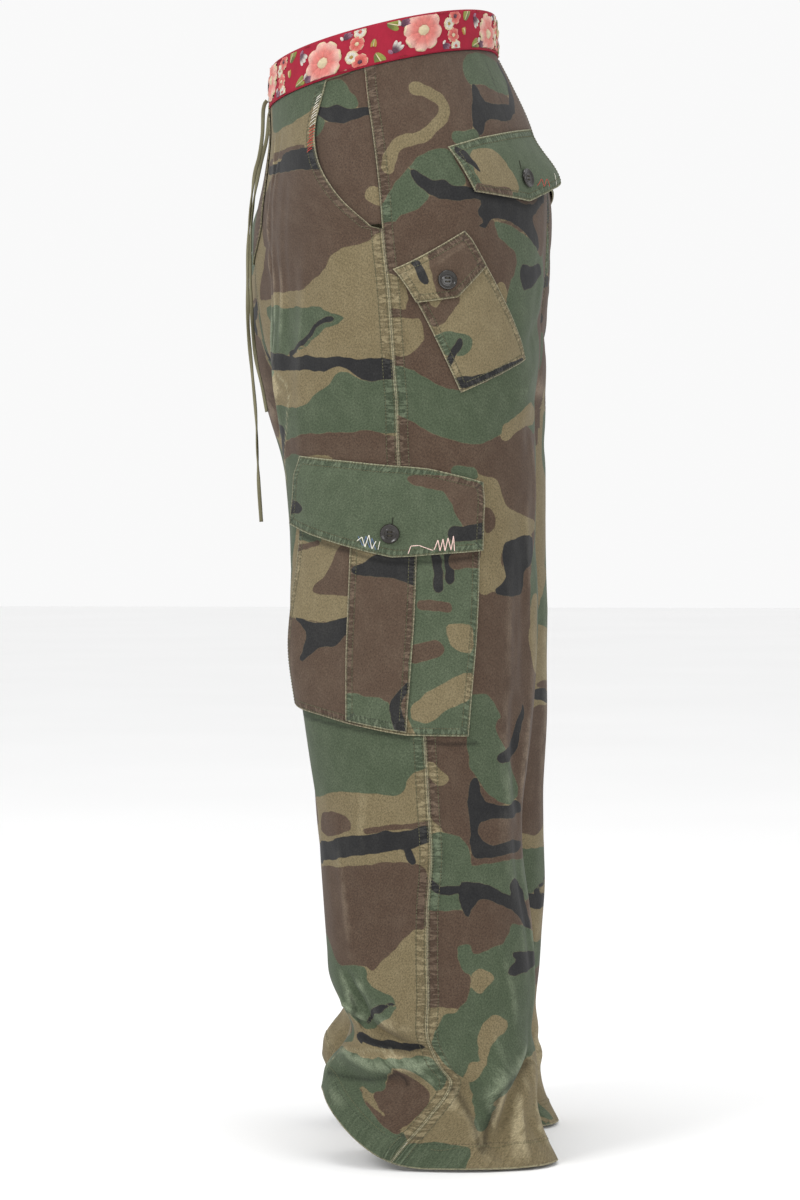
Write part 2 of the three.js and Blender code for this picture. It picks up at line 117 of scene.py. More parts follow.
# a Catmull-Rom curve through the points, sampled evenly between each two
def curveThrough(points, steps):
    p = np.asarray(points, float)
    p = np.concatenate([[2 * p[0] - p[1]], p, [2 * p[-1] - p[-2]]])
    t = np.linspace(0, len(p) - 3, (len(p) - 3) * steps + 1)
    i = np.minimum(t.astype(int), len(p) - 4)
    f = (t - i)[:, None]
    a, b, c, d = p[i], p[i + 1], p[i + 2], p[i + 3]
    return b + 0.5 * f * (c - a + f * (2 * a - 5 * b + 4 * c - d + f * (3 * (b - c) + d - a)))


# Meshes

# a mesh object from points in millimetres and rows of faces, all of the same number of corners
def meshObject(name, points, faces, materials, smoothFaces=None, faceMaterial=None, uv=None, values=None):
    mesh = bpy.data.meshes.new(name)
    faces = np.asarray(faces)
    corners = faces.shape[1]
    mesh.vertices.add(len(points))
    mesh.vertices.foreach_set("co", (np.asarray(points) * metre).ravel())
    mesh.loops.add(faces.size)
    mesh.loops.foreach_set("vertex_index", faces.ravel().astype(np.int32))
    mesh.polygons.add(len(faces))
    mesh.polygons.foreach_set("loop_start", np.arange(len(faces), dtype=np.int32) * corners)
    mesh.update(calc_edges=True)
    shade = np.ones(len(faces), bool) if smoothFaces is None else smoothFaces
    mesh.polygons.foreach_set("use_smooth", shade)
    if uv is not None:
        layer = mesh.uv_layers.new(name="cloth")
        layer.data.foreach_set("uv", (uv * metre)[faces.ravel()].ravel())
    for key, value in (values or {}).items():
        if value.ndim == 1:
            mesh.attributes.new(key, "FLOAT", "POINT").data.foreach_set("value", value)
        else:
            mesh.attributes.new(key, "FLOAT_COLOR", "POINT").data.foreach_set("color", value.ravel())
    for material in materials:
        mesh.materials.append(material)
    if faceMaterial is not None:
        mesh.polygons.foreach_set("material_index", faceMaterial.astype(np.int32))
    piece = bpy.data.objects.new(name, mesh)
    bpy.context.collection.objects.link(piece)
    return piece


def finishPiece(piece, slot, *nodes):
    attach(piece, "root")
    if nodes:
        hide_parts(*nodes)
    return piece


# quads of a closed wall: its outer grid, its inner grid and its rim
def shellFaces(rows, columns):
    at = np.arange(rows * columns).reshape(rows, columns)
    under = at + rows * columns
    quad = lambda a, b, c, d: np.stack([a.ravel(), b.ravel(), c.ravel(), d.ravel()], axis=1)
    outer = quad(at[:-1, :-1], at[1:, :-1], at[1:, 1:], at[:-1, 1:])
    inner = quad(under[:-1, :-1], under[:-1, 1:], under[1:, 1:], under[1:, :-1])
    left = quad(at[:-1, 0], under[:-1, 0], under[1:, 0], at[1:, 0])
    right = quad(at[1:, -1], under[1:, -1], under[:-1, -1], at[:-1, -1])
    top = quad(at[0, 1:], under[0, 1:], under[0, :-1], at[0, :-1])
    foot = quad(at[-1, :-1], under[-1, :-1], under[-1, 1:], at[-1, 1:])
    rim = np.concatenate([left, right, top, foot])
    return outer, inner, rim


# a closed wall between two grids. materials are its face's and its reverse's
def shell(name, side, outer, inner, materials, place, values):
    if side < 0:
        outer, inner, place = outer[:, ::-1], inner[:, ::-1], place[:, ::-1]
        values = {key: value[:, ::-1] for key, value in values.items()}
    rows, columns = outer.shape[:2]
    faces, reverse, rim = shellFaces(rows, columns)
    everything = np.concatenate([faces, reverse, rim])
    kind = np.concatenate([np.zeros(len(faces)), np.ones(len(reverse)), np.zeros(len(rim))])
    shade = np.concatenate([np.ones(len(faces) + len(reverse), bool), np.zeros(len(rim), bool)])
    points = np.concatenate([outer.reshape(-1, 3), inner.reshape(-1, 3)])
    twice = lambda value: np.concatenate([value.reshape(rows * columns, -1)] * 2)
    uv = twice(place)
    flat = {key: twice(value)[:, 0] for key, value in values.items()}
    return meshObject(name, points, everything, materials, shade, kind, uv, flat)


# The worn shape: the rings of one leg and its folds, as in the part

rings = np.array([
    # z, tilt, outX, inX, front, back, stepFront, stepBack, power, seamY
    [-19.5, 0.242, 156, -156, -108.5, 119, 0, 0, 2.1, 0],
    [-50, 0.225, 168, -152, -107.5, 134, 2, 0, 2.15, 3],
    [-90, 0.17, 184, -146, -113.5, 154, 9, 0, 2.2, 6],
    [-140, 0.1, 201, -138, -121, 169, 15, 0, 2.2, 10],
    [-190, 0.04, 211, -126, -121, 171.5, 17.5, 0, 2.2, 14],
    [-240, 0.01, 214, -103, -119, 169, 21, 0, 2.25, 18],
    [-290, 0, 212, -66, -116, 166, 20.5, 0, 2.3, 22],
    [-325, 0, 210, -26, -111, 164, 19, 0, 2.3, 25],
    [-345, 0, 208, 0.15, -107, 163.5, 18, 0, 2.3, 27],
    [-400, 0, 206, 3, -96, 164, 13, 0, 2.3, 31],
    [-480, 0, 203, 7, -88, 163.5, 12, 0, 2.3, 40],
    [-540, 0, 200, 10, -84, 164, 12, 0, 2.3, 46],
    [-640, 0, 195, 16, -76, 159.5, 12, 0.5, 2.3, 55],
    [-736, 0, 190, 23, -64, 155, 12, 3, 2.3, 62],
    [-785, 0, 188, 27, -60, 156, 12, 4, 2.3, 65],
    [-834, 0, 186, 31, -56, 161, 12, 2.5, 2.3, 60],
    [-884, 0, 184, 36, -53, 161.5, 12, -1.5, 2.3, 57],
    [-920, 0, 183, 39, -51, 160, 12, -3, 2.3, 57],
    [-960, 0, 181, 43, -41, 156.5, 12, -3.5, 2.3, 56],
    [-985, 0, 181, 44, -32, 160, 12, -5, 2.3, 66],
    [-1005, 0, 182, 44, -30, 160, 12, -7, 2.3, 77],
    [-1040, 0, 182, 46, -37, 163, 12, -5, 2.3, 54],
    [-1065, 0, 181, 47, -54, 171, 12, -5, 2.3, 33],
    [-1087, 0, 184, 48, -58, 182, 12, -5, 2.3, 18],
])
ringNames = ("z", "tilt", "outX", "inX", "front", "back", "stepFront", "stepBack", "power", "seamY")

# side (1 left, -1 right, 0 both), turn and height of both ends, depth (a ridge is over 0), width
largeFolds = [
    [0, -70, -505, -66, -632, 8, 32],
    [1, 66, -470, 74, -650, -6, 20],
    [1, 62, -640, 74, -745, -7, 14],
    [1, 90, -520, 92, -700, 5, 24],
    [1, 50, -690, 56, -830, 4, 20],
    [1, 94, -255, 66, -292, -4, 12],
    [1, 40, -340, 84, -372, -4, 18],
    [1, -11, -822, -26, -900, -4, 14],
    [1, -44, -912, -34, -956, -5, 12],
    [1, -46, -964, 0, -970, -8, 12],
    [1, -84, -1048, -28, -991, 9, 15],
    [1, -26, -989, 4, -981, 6, 12],
    [1, -80, -1074, -12, -1007, -7, 12],
    [1, 4, -988, 27, -1036, -7, 12],
    [1, 27, -1036, 33, -1072, -6, 12],
    [1, 36, -975, 32, -1045, 8, 16],
    [1, 84, -982, 46, -1020, -9, 12],
    [1, 46, -1020, 34, -1070, -9, 12],
    [1, 72, -1020, 84, -1075, 4, 16],
    [1, 150, -960, 100, -1040, -7, 18],
    [1, -150, -985, -105, -1030, 8, 18],
    [1, 178, -700, 165, -930, 4, 22],
    [-1, 70, -480, 62, -700, -6, 22],
    [-1, 88, -560, 96, -790, 5, 24],
    [-1, 45, -660, 52, -860, 4, 22],
    [-1, 96, -262, 60, -300, -4, 13],
    [-1, 44, -352, 86, -380, -4, 18],
    [-1, -14, -800, -30, -905, -4, 15],
    [-1, -48, -915, -40, -965, -5, 13],
    [-1, -60, -978, -14, -984, -9, 14],
    [-1, -84, -1046, -20, -1006, 9, 18],
    [-1, -58, -1072, -16, -1036, -5, 11],
    [-1, 6, -968, 34, -1052, -7, 14],
    [-1, 44, -970, 34, -1038, 6, 18],
    [-1, 74, -978, 36, -1070, -8, 14],
    [-1, 92, -1000, 96, -1030, 8, 18],
    [-1, 146, -950, 104, -1046, -6, 18],
    [-1, -146, -975, -104, -1024, 7, 18],
    [-1, 176, -690, 168, -920, 4, 22],
    [0, -64, -250, -76, -380, 4, 18],
    [0, -50, -215, -58, -330, -3, 16],
]

# Finer folds that only show in the light
fineFolds = [
    [0, -60, -60, -66, -190, 1.6, 6],
    [0, -50, -120, -60, -300, -1.5, 7],
    [0, -72, -110, -80, -330, 2.2, 6],
    [0, -82, -150, -86, -340, -2, 5],
    [0, -40, -200, -52, -400, 1.4, 9],
    [0, 96, -190, 50, -232, -1.6, 8],
    [0, 92, -215, 76, -240, 1.4, 7],
    [1, 88, -300, 60, -345, 1.8, 9],
    [1, 96, -330, 70, -395, -1.6, 9],
    [1, 80, -380, 88, -470, 2, 8],
    [1, 70, -440, 76, -560, 2, 8],
    [1, 58, -500, 62, -640, -1.8, 8],
    [1, 84, -600, 80, -760, 2, 8],
    [1, 66, -760, 78, -900, -2.2, 9],
    [1, 40, -860, 60, -960, 1.8, 9],
    [1, 84, -820, 88, -960, 2, 8],
    [1, 20, -900, 34, -980, -1.8, 8],
    [1, -20, -700, -34, -820, 1.5, 10],
    [1, -46, -760, -42, -900, 1.8, 8],
    [1, -30, -900, -60, -960, 1.8, 8],
    [1, -46, -905, -35, -955, -4, 4.5],
    [1, -62, -940, -36, -962, 4, 5],
    [1, -40, -962, -2, -973, -5, 5],
    [1, -70, -1010, -34, -975, 2.5, 6],
    [1, -34, -1018, -8, -999, -4.5, 5],
    [1, -16, -985, 0, -1006, 3.5, 6],
    [1, 8, -1000, 26, -1034, -4, 5],
    [1, 26, -1034, 33, -1076, -3.5, 5],
    [1, 80, -984, 48, -1018, -5, 5],
    [1, 48, -1018, 35, -1074, -4.5, 5],
    [1, 56, -1020, 50, -1080, 2.4, 7],
    [1, 62, -1040, 74, -1076, -2, 6],
    [0, -72, -60, -74, -130, -2.4, 4],
    [0, -64, -55, -70, -125, 2.2, 4],
    [0, -58, -60, -66, -110, -1.8, 4],
    [0, -82, -120, -80, -200, 3, 4.5],
    [0, -76, -125, -73, -215, -3, 4.5],
    [0, -70, -135, -76, -210, 2.6, 4.5],
    [0, -66, -180, -70, -262, 2.8, 4],
    [0, -62, -190, -66, -290, -2.4, 4.5],
    [0, -78, -230, -82, -330, 3, 4.5],
    [0, -73, -250, -78, -345, -3, 4.5],
    [0, -69, -290, -72, -360, 2.6, 4],
    [1, 84, -960, 70, -1040, -2, 7],
]
everyFold = largeFolds + fineFolds

body = {
    "cloth": 1.2, "seamGap": 0.3, "seat": 0.7,
    "bandHeight": 40.0, "bandThickness": 2.4, "bandProud": 1.2,
    "waistZ": -19.5, "crotchZ": -345.0, "hemZ": -1087.0,
    "hemRise": 69.0, "liftFrom": -850.0, "flyBulge": 8.0,
}


# cubic between the rows of the table: h00 a + h10 h a' + h01 b + h11 h b'
def ringAt(z):
    down = -np.asarray(z, float)
    heights = -rings[:, 0]
    i = np.clip(np.searchsorted(heights, down, side="right") - 1, 0, len(heights) - 2)
    before, after = np.maximum(i - 1, 0), np.minimum(i + 2, len(heights) - 1)
    h = heights[i + 1] - heights[i]
    t = np.clip((down - heights[i]) / h, 0, 1)[..., None]
    slopeA = (rings[i + 1] - rings[before]) / (heights[i + 1] - heights[before])[..., None]
    slopeB = (rings[after] - rings[i]) / (heights[after] - heights[i])[..., None]
    a, b, h = rings[i], rings[i + 1], h[..., None]
    row = (2 * t - 3) * t * t * a + a + ((t - 2) * t + 1) * t * h * slopeA
    row = row + (3 - 2 * t) * t * t * b + (t - 1) * t * t * h * slopeB
    ring = {name: row[..., n] for n, name in enumerate(ringNames)}
    ring["centreX"] = (ring["outX"] + ring["inX"]) / 2
    ring["halfWidth"] = (ring["outX"] - ring["inX"]) / 2
    ring["centreY"] = (ring["front"] + ring["back"]) / 2
    ring["halfDepth"] = (ring["back"] - ring["front"]) / 2
    return ring


# x = centreX + halfWidth cos^(2/power), y = centreY + halfDepth sin^(2/power) + steps - fly
def plainPoint(side, turn, z):
    turn, z = np.broadcast_arrays(np.asarray(turn, float), np.asarray(z, float))
    ring = ringAt(z)
    sine = np.sin(np.radians(turn))
    across = signedPower(np.cos(np.radians(turn)), 2 / ring["power"])
    along = signedPower(sine, 2 / ring["power"])
    x = ring["centreX"] + ring["halfWidth"] * across
    apart = smooth(x / 70) * side
    step = (1 - along) / 2 * ring["stepFront"] - (1 + along) / 2 * ring["stepBack"]
    fly = body["flyBulge"] * smooth((-90 - z) / 130) * smooth((z - body["crotchZ"]) / 70)
    fly = fly * np.exp(-((x / 30) ** 2)) * np.clip(-3 * along, 0, 1)
    y = ring["centreY"] + ring["halfDepth"] * along + apart * step - fly
    lift = smooth((body["liftFrom"] - z) / (body["liftFrom"] - body["hemZ"]))
    rise = lift * body["hemRise"] * np.clip(-sine, 0, 1) ** 2.2
    return np.stack([side * x, y, z + ring["tilt"] * (y - 3) + rise], axis=-1)


# cross of the differences along the turn and along the height
def normalOf(at, side, turn, z):
    alongTurn = at(turn + 0.5, z) - at(turn - 0.5, z)
    up = np.minimum(z + 1, body["waistZ"])
    down = np.maximum(z - 1, body["hemZ"])
    normal = side * np.cross(alongTurn, at(turn, up) - at(turn, down))
    return normal / np.linalg.norm(normal, axis=-1, keepdims=True)


# sum of depth (0.4 + 0.6 sin pi t) exp(-(off / width)^2) over the folds, and soft noise
def foldHeight(side, turn, z, point):
    ring = ringAt(z)
    perDegree = np.radians((ring["halfWidth"] + ring["halfDepth"]) / 2)
    height = np.zeros(np.shape(z))
    for foldSide, turn1, z1, turn2, z2, depth, width in everyFold:
        if foldSide and foldSide != side:
            continue
        dx = (turn2 - turn1) * perDegree
        dz = z2 - z1
        off = turn - turn1
        off = np.where(off > 200, off - 360, np.where(off < -200, off + 360, off))
        px, pz = off * perDegree, z - z1
        t = np.clip((px * dx + pz * dz) / (dx * dx + dz * dz), 0, 1)
        gap = np.hypot(px - t * dx, pz - t * dz)
        height += depth * (0.4 + 0.6 * np.sin(np.pi * t)) * np.exp(-((gap / width) ** 2))
    height *= smooth((np.abs(point[..., 0]) - 1) / 25)
    stretched = point * np.array([1, 1, 0.45])
    loose = smooth((-60 - z) / 120)
    height += loose * (0.9 * softNoise(stretched, 70, 11) + 0.3 * softNoise(stretched, 26, 12))
    return height


def foldedPoint(side, turn, z):
    turn, z = np.broadcast_arrays(np.asarray(turn, float), np.asarray(z, float))
    at = lambda t, h: plainPoint(side, t, h)
    point = at(turn, z)
    return point + normalOf(at, side, turn, z) * foldHeight(side, turn, z, point)[..., None]


# the folded cloth at each offset, and its outward normal
def clothPoints(side, turn, z, *offsets):
    at = lambda t, h: foldedPoint(side, t, h)
    point, normal = at(turn, z), normalOf(at, side, turn, z)
    return [point + normal * np.asarray(offset)[..., None] for offset in offsets], normal


def seamTurn(z):
    ring = ringAt(z)
    along = (ring["seamY"] - ring["centreY"]) / ring["halfDepth"]
    return np.degrees(np.arcsin(signedPower(along, ring["power"] / 2)))


def turnAtX(x, z):
    ring = ringAt(z)
    across = signedPower((x - ring["centreX"]) / ring["halfWidth"], ring["power"] / 2)
    return np.degrees(np.arccos(np.clip(across, -1, 1)))


def endTurn(z):
    return np.where(z > body["crotchZ"], turnAtX(body["seamGap"] / 2, z), 180.0)


def degreesPerMm(side, turn, z):
    return 1 / np.linalg.norm(plainPoint(side, turn + 0.5, z) - plainPoint(side, turn - 0.5, z), axis=-1)


# The slanted mouth of the front pocket
mouth = {
    "low": -179.0, "lift": 2.6,
    "line": [[-21, -19.5], [-30, -62], [-29.5, -103], [-20, -145], [-7, -179]],
}


def mouthTurn(z):
    line = curveThrough(mouth["line"], 15)
    return np.interp(-z, -line[:, 1], line[:, 0])


def frontEdge(z):
    return np.where(z > mouth["low"], np.minimum(mouthTurn(z), seamTurn(z)), seamTurn(z))


def arcAcross(points):
    steps = np.linalg.norm(np.diff(points, axis=1), axis=2)
    return np.concatenate([np.zeros((len(points), 1)), np.cumsum(steps, axis=1)], axis=1)


# The woodland print

# Each stroke of the print: colour (t tan, b brown, g green, k black), radius in millimetres, then its
# points in the photograph's pixels. A stroke whose last point is its first is filled.
def closed(*points):
    return [*points, points[0]]


frontPrint = [
    ("t", 300, [(320, 300), (340, 900)]),
    ("g", 0, closed((262, 136), (300, 120), (332, 96), (332, 60), (256, 60))),
    ("b", 0, closed((258, 158), (284, 148), (304, 144), (308, 150), (284, 156), (258, 170))),
    ("k", 0, closed((266, 164), (280, 164), (284, 152), (302, 148), (340, 150), (346, 172), (312, 168),
                    (266, 176))),
    ("b", 0, closed((412, 226), (412, 232), (372, 234), (368, 242), (336, 248), (324, 270), (302, 292),
                    (274, 292), (266, 300), (256, 300), (262, 176), (314, 168), (350, 172), (372, 204))),
    ("g", 0, closed((342, 314), (344, 318), (340, 324), (320, 332), (304, 350), (280, 356), (272, 380),
                    (262, 384), (256, 302), (280, 308), (320, 306), (324, 312))),
    ("k", 2.6, [(333, 319), (324, 322), (315, 326), (310, 335), (302, 343), (291, 353)]),
    ("k", 0, closed((266, 340), (276, 356), (412, 360), (412, 380), (362, 380), (344, 368), (332, 368),
                    (320, 372), (276, 368), (268, 358))),
    ("g", 0, closed((412, 380), (412, 434), (332, 430), (268, 444), (268, 404), (290, 408), (308, 404),
                    (340, 370), (362, 380))),
    ("b", 0, closed((268, 444), (332, 430), (412, 434), (412, 500), (340, 476), (330, 452), (268, 462))),
    ("g", 0, closed((300, 452), (312, 470), (296, 520), (286, 600), (262, 600), (268, 462))),
    ("k", 5, [(268, 428), (283, 432), (281, 452)]),
    ("g", 0, closed((440, 700), (440, 762), (412, 772), (400, 798), (344, 790), (316, 798), (270, 800),
                    (270, 690))),
    ("b", 0, closed((322, 812), (338, 812), (352, 820), (350, 832), (334, 836), (320, 832))),
    ("b", 3, [(367, 830), (395, 828), (430, 824)]),
    ("b", 0, closed((430, 856), (430, 930), (412, 930), (372, 972), (366, 964), (340, 968), (330, 940),
                    (290, 930), (290, 862), (330, 868))),
    ("k", 9, [(290, 852), (322, 853)]),
    ("k", 10, [(322, 852), (355, 846), (386, 842)]),
    ("k", 8, [(386, 842), (409, 840), (425, 834)]),
    ("k", 4, [(404, 845), (411, 860)]),
    ("g", 0, closed((290, 932), (330, 940), (340, 968), (366, 964), (364, 982), (404, 1004),
                    (374, 1028), (362, 1028), (334, 990), (290, 980))),
    ("b", 7, [(336, 1016), (352, 1034)]),
    ("g", 5, [(340, 1010), (334, 1040)]),
    ("k", 0, closed((364, 1026), (368, 1016), (378, 1004), (396, 1002), (400, 1004), (384, 1008))),
    ("k", 0, closed((356, 1036), (360, 1030), (384, 1040), (424, 1044), (426, 1050), (382, 1048),
                    (358, 1040))),
    ("g", 0, closed((430, 1050), (450, 1080), (436, 1094), (414, 1072), (396, 1066), (384, 1072),
                    (384, 1084), (398, 1106), (356, 1080), (380, 1118), (404, 1130), (420, 1150),
                    (400, 1180), (290, 1180), (290, 1072), (362, 1052))),
    ("b", 0, closed((396, 1068), (434, 1096), (404, 1132), (378, 1108), (372, 1094), (384, 1090),
                    (384, 1074))),
    ("b", 0, closed((356, 1080), (404, 1128), (400, 1138), (368, 1108))),
]
backPrint = [
    ("b", 300, [(440, 200), (460, 700)]),
    ("t", 6, [(415, 88), (440, 100), (443, 118), (422, 135), (396, 145), (388, 168)]),
    ("g", 0, closed((466, 52), (490, 56), (512, 70), (512, 92), (502, 96), (480, 84), (470, 86),
                    (462, 70))),
    ("k", 0, closed((470, 84), (476, 84), (484, 104), (516, 106), (508, 124), (486, 116), (484, 136),
                    (472, 138))),
    ("k", 6, [(512, 108), (508, 84), (500, 66)]),
    ("g", 7, [(458, 138), (474, 136)]),
    ("g", 0, closed((372, 226), (392, 184), (426, 150), (448, 148), (468, 182), (462, 190), (430, 190),
                    (426, 204), (404, 220))),
    ("k", 0, closed((408, 168), (432, 182), (444, 176), (456, 188), (508, 196), (530, 206), (542, 190),
                    (552, 200), (530, 216), (540, 244), (536, 256), (524, 230), (506, 220), (492, 216),
                    (484, 232), (476, 228), (484, 222), (476, 212), (484, 200), (456, 202), (430, 196),
                    (412, 180))),
    ("b", 9, [(405, 224), (440, 214), (466, 212)]),
    ("g", 0, closed((492, 218), (522, 232), (540, 258), (556, 250), (556, 440), (520, 420), (504, 380),
                    (494, 330), (518, 262), (514, 250), (500, 240))),
    ("t", 0, closed((366, 276), (384, 270), (400, 276), (410, 296), (404, 312), (422, 318), (424, 344),
                    (406, 360), (366, 346))),
    ("b", 4, [(388, 314), (414, 313)]),
    ("b", 0, closed((474, 226), (490, 230), (508, 244), (516, 256), (510, 264), (494, 268), (478, 260))),
    ("t", 8, [(478, 288), (490, 296), (502, 292)]),
    ("k", 0, closed((540, 262), (542, 276), (522, 294), (520, 272), (524, 264), (532, 266))),
    ("g", 0, closed((542, 380), (540, 400), (520, 410), (498, 436), (478, 444), (456, 444), (388, 410),
                    (368, 412), (368, 366), (410, 366), (452, 396), (510, 368))),
    ("t", 0, closed((500, 438), (504, 422), (516, 418), (530, 400), (540, 408), (538, 422), (516, 430),
                    (512, 438), (504, 442))),
    ("t", 0, closed((470, 468), (484, 478), (498, 478), (506, 510), (534, 520), (536, 532), (506, 540),
                    (498, 560), (510, 580), (480, 600), (476, 580), (484, 540))),
    ("b", 0, closed((484, 508), (492, 510), (498, 520), (494, 530), (484, 534))),
    ("g", 6, [(458, 471), (472, 474)]),
    ("k", 0, closed((532, 532), (534, 560), (524, 568), (522, 598), (488, 594), (508, 578), (500, 556),
                    (506, 540))),
    ("g", 0, closed((538, 436), (556, 440), (556, 690), (544, 660), (530, 640), (530, 566), (536, 544),
                    (534, 530), (540, 500))),
    ("t", 10, [(536, 604), (534, 640), (536, 664)]),
    ("g", 0, closed((472, 694), (488, 694), (502, 716), (496, 722), (496, 736), (520, 780), (518, 800),
                    (504, 806), (474, 792), (466, 780), (470, 760), (464, 700))),
    ("k", 0, closed((522, 698), (524, 716), (516, 752), (508, 764), (500, 764), (494, 756), (512, 742))),
    ("b", 0, closed((456, 762), (472, 770), (490, 800), (520, 806), (540, 800), (540, 840), (490, 846),
                    (470, 842), (456, 830))),
    ("t", 7, [(432, 769), (441, 780)]),
    ("t", 7, [(422, 819), (435, 832)]),
    ("g", 0, closed((424, 836), (440, 830), (470, 842), (470, 884), (444, 886), (424, 880))),
    ("k", 0, closed((468, 780), (478, 776), (482, 802), (498, 806), (518, 800), (522, 810), (514, 818),
                    (480, 820), (478, 836), (490, 846), (512, 838), (522, 842), (520, 850), (480, 860),
                    (470, 854))),
    ("b", 7, [(486, 829), (512, 828)]),
    ("g", 0, closed((540, 860), (540, 900), (500, 902), (470, 912), (414, 910), (414, 866), (440, 860),
                    (480, 866), (516, 858))),
    ("b", 0, closed((474, 896), (490, 896), (506, 908), (508, 926), (496, 936), (480, 930), (470, 914))),
    ("k", 0, closed((456, 880), (486, 884), (512, 898), (508, 884), (514, 876), (522, 884), (534, 932),
                    (524, 928), (516, 914), (486, 898), (476, 900), (466, 924))),
    ("k", 4, [(422, 870), (436, 888), (458, 890)]),
    ("g", 0, closed((556, 930), (556, 1050), (524, 1058), (494, 1102), (488, 1132), (476, 1132),
                    (430, 1056), (444, 1014), (456, 1014), (470, 994), (472, 974), (462, 972),
                    (456, 944), (472, 944), (472, 958), (506, 940), (512, 920), (540, 934))),
    ("t", 0, closed((478, 968), (490, 970), (496, 978), (480, 996), (472, 988), (472, 974))),
    ("t", 0, closed((508, 1018), (508, 1030), (490, 1044), (484, 1068), (466, 1084), (462, 1078),
                    (468, 1064), (480, 1062), (482, 1024), (496, 1012))),
    ("k", 0, closed((508, 978), (508, 968), (516, 962), (512, 956), (514, 952), (540, 950), (540, 966))),
    ("g", 0, closed((474, 1150), (470, 1200), (380, 1200), (400, 1152), (410, 1142), (452, 1142))),
    ("t", 0, closed((510, 1148), (510, 1154), (470, 1168), (466, 1200), (480, 1200), (474, 1150),
                    (492, 1154))),
    ("t", 5, [(499, 1102), (510, 1090), (516, 1078)]),
    ("t", 8, [(546, 1120), (552, 1156)]),
]
# Crest lines with a painted highlight and lines with painted shade, for each piece: kind, reach in
# millimetres, then pixels
marks = {
    "front": [
        ("pale", 1.1, [(277, 373), (289, 391), (287, 421), (285, 460), (287, 480)]),
        ("pale", 0.9, [(341, 1006), (350, 1014), (361, 1028)]),
        ("pale", 0.9, [(330, 1062), (336, 1056), (352, 1050), (372, 1050), (392, 1051)]),
        ("shaded", 2.0, [(350, 994), (355, 1010), (361, 1027)]),
        ("shaded", 2.4, [(358, 1034), (372, 1041), (404, 1049), (424, 1047)]),
        ("shaded", 2.2, [(328, 1073), (360, 1078), (386, 1078), (397, 1074), (408, 1085)]),
        ("shaded", 2.4, [(292, 712), (350, 728), (410, 739)]),
    ],
    "back": [
        ("pale", 0.9, [(527, 1056), (538, 1068), (536, 1102), (543, 1120)]),
        ("shaded", 2.2, [(443, 1082), (472, 1119), (481, 1150)]),
        ("shaded", 3.4, [(527, 1062), (505, 1090), (490, 1119), (483, 1152)]),
        ("shaded", 0.9, [(487, 64), (495, 86), (510, 131)]),
        ("shaded", 2.2, [(470, 187), (488, 196), (509, 200), (527, 206), (545, 194)]),
        ("shaded", 2.4, [(410, 739), (446, 744), (476, 743)]),
        ("shaded", 2.0, [(424, 1046), (436, 1064), (443, 1080)]),
    ],
    "cargo_pocket": [("shaded", 2.6, [(284, 531), (340, 549), (386, 562), (430, 562), (482, 556)])],
    "cargo_pleat": [("shaded", 2.6, [(340, 549), (386, 562), (430, 562)])],
}
printColours = {"b": "brownField", "g": "greenField", "k": "blackField"}


# the grid point nearest each pixel on the side seen, and the millimetres left over to the right and up
def nearestSeen(grid, normal, pixels):
    photo = toPhoto(grid).reshape(-1, 2)
    towards = shot["place"] - grid
    towards = towards / np.linalg.norm(towards, axis=-1, keepdims=True)
    photo[(np.sum(normal * towards, axis=-1) <= 0.12).ravel()] = 1e6
    pixels = np.asarray(pixels, float)
    nearest = np.array([np.argmin(np.sum((photo - pixel) ** 2, axis=1)) for pixel in pixels])
    return nearest, (pixels - photo[nearest]) * np.array([1, -1]) * shot["pixel"]


# where pixels of the photograph lie on a piece, in its own millimetres
def nearestOn(grid, normal, place, pixels):
    nearest, left = nearestSeen(grid, normal, pixels)
    return place.reshape(-1, 2)[nearest] + left


# where pixels of the photograph lie on a piece in space, with the cloth's normals there
def spaceAt(grid, normal, pixels):
    nearest, left = nearestSeen(grid, normal, pixels)
    right, up = shotAxes()[:2]
    normals = normal.reshape(-1, 3)[nearest]
    moved = left[:, :1] * right + left[:, 1:] * up
    moved = moved - np.sum(moved * normals, axis=1, keepdims=True) * normals
    return grid.reshape(-1, 3)[nearest] + moved, normals


def placeStrokes(strokes, grid, normal, place):
    return [(colour, radius, nearestOn(grid, normal, place, points)) for colour, radius, points in strokes]


# distance to the nearest segment, negative inside a filled outline
def strokeDistance(place, line):
    nearest = np.full(place.shape[:-1], 1e9)
    inside = np.zeros(place.shape[:-1], bool)
    for a, b in zip(line[:-1], line[1:]):
        step, away = b - a, place - a
        t = np.clip((away @ step) / max(step @ step, 1e-9), 0, 1)
        nearest = np.minimum(nearest, np.linalg.norm(away - t[..., None] * step, axis=-1))
        crosses = (a[1] > place[..., 1]) != (b[1] > place[..., 1])
        rise = np.where(crosses, b[1] - a[1], 1)
        inside ^= crosses & (place[..., 0] < a[0] + (b[0] - a[0]) * (place[..., 1] - a[1]) / rise)
    filled = np.allclose(line[0], line[-1])
    return np.where(inside & filled, -nearest, nearest)


# a stroke's points with its corners rounded
def rounded(line):
    if len(line) < 3:
        return line
    if not np.allclose(line[0], line[-1]):
        return curveThrough(line, 4)
    ring = line[:-1]
    before, after = np.roll(ring, 1, axis=0), np.roll(ring, -1, axis=0)
    start, end = mix(ring, before, 0.36), mix(ring, after, 0.36)
    t = np.linspace(0, 1, 4)[None, :, None]
    arcs = (1 - t) ** 2 * start[:, None] + 2 * t * (1 - t) * ring[:, None] + t * t * end[:, None]
    outline = arcs.reshape(-1, 2)
    return np.concatenate([outline, outline[:1]])


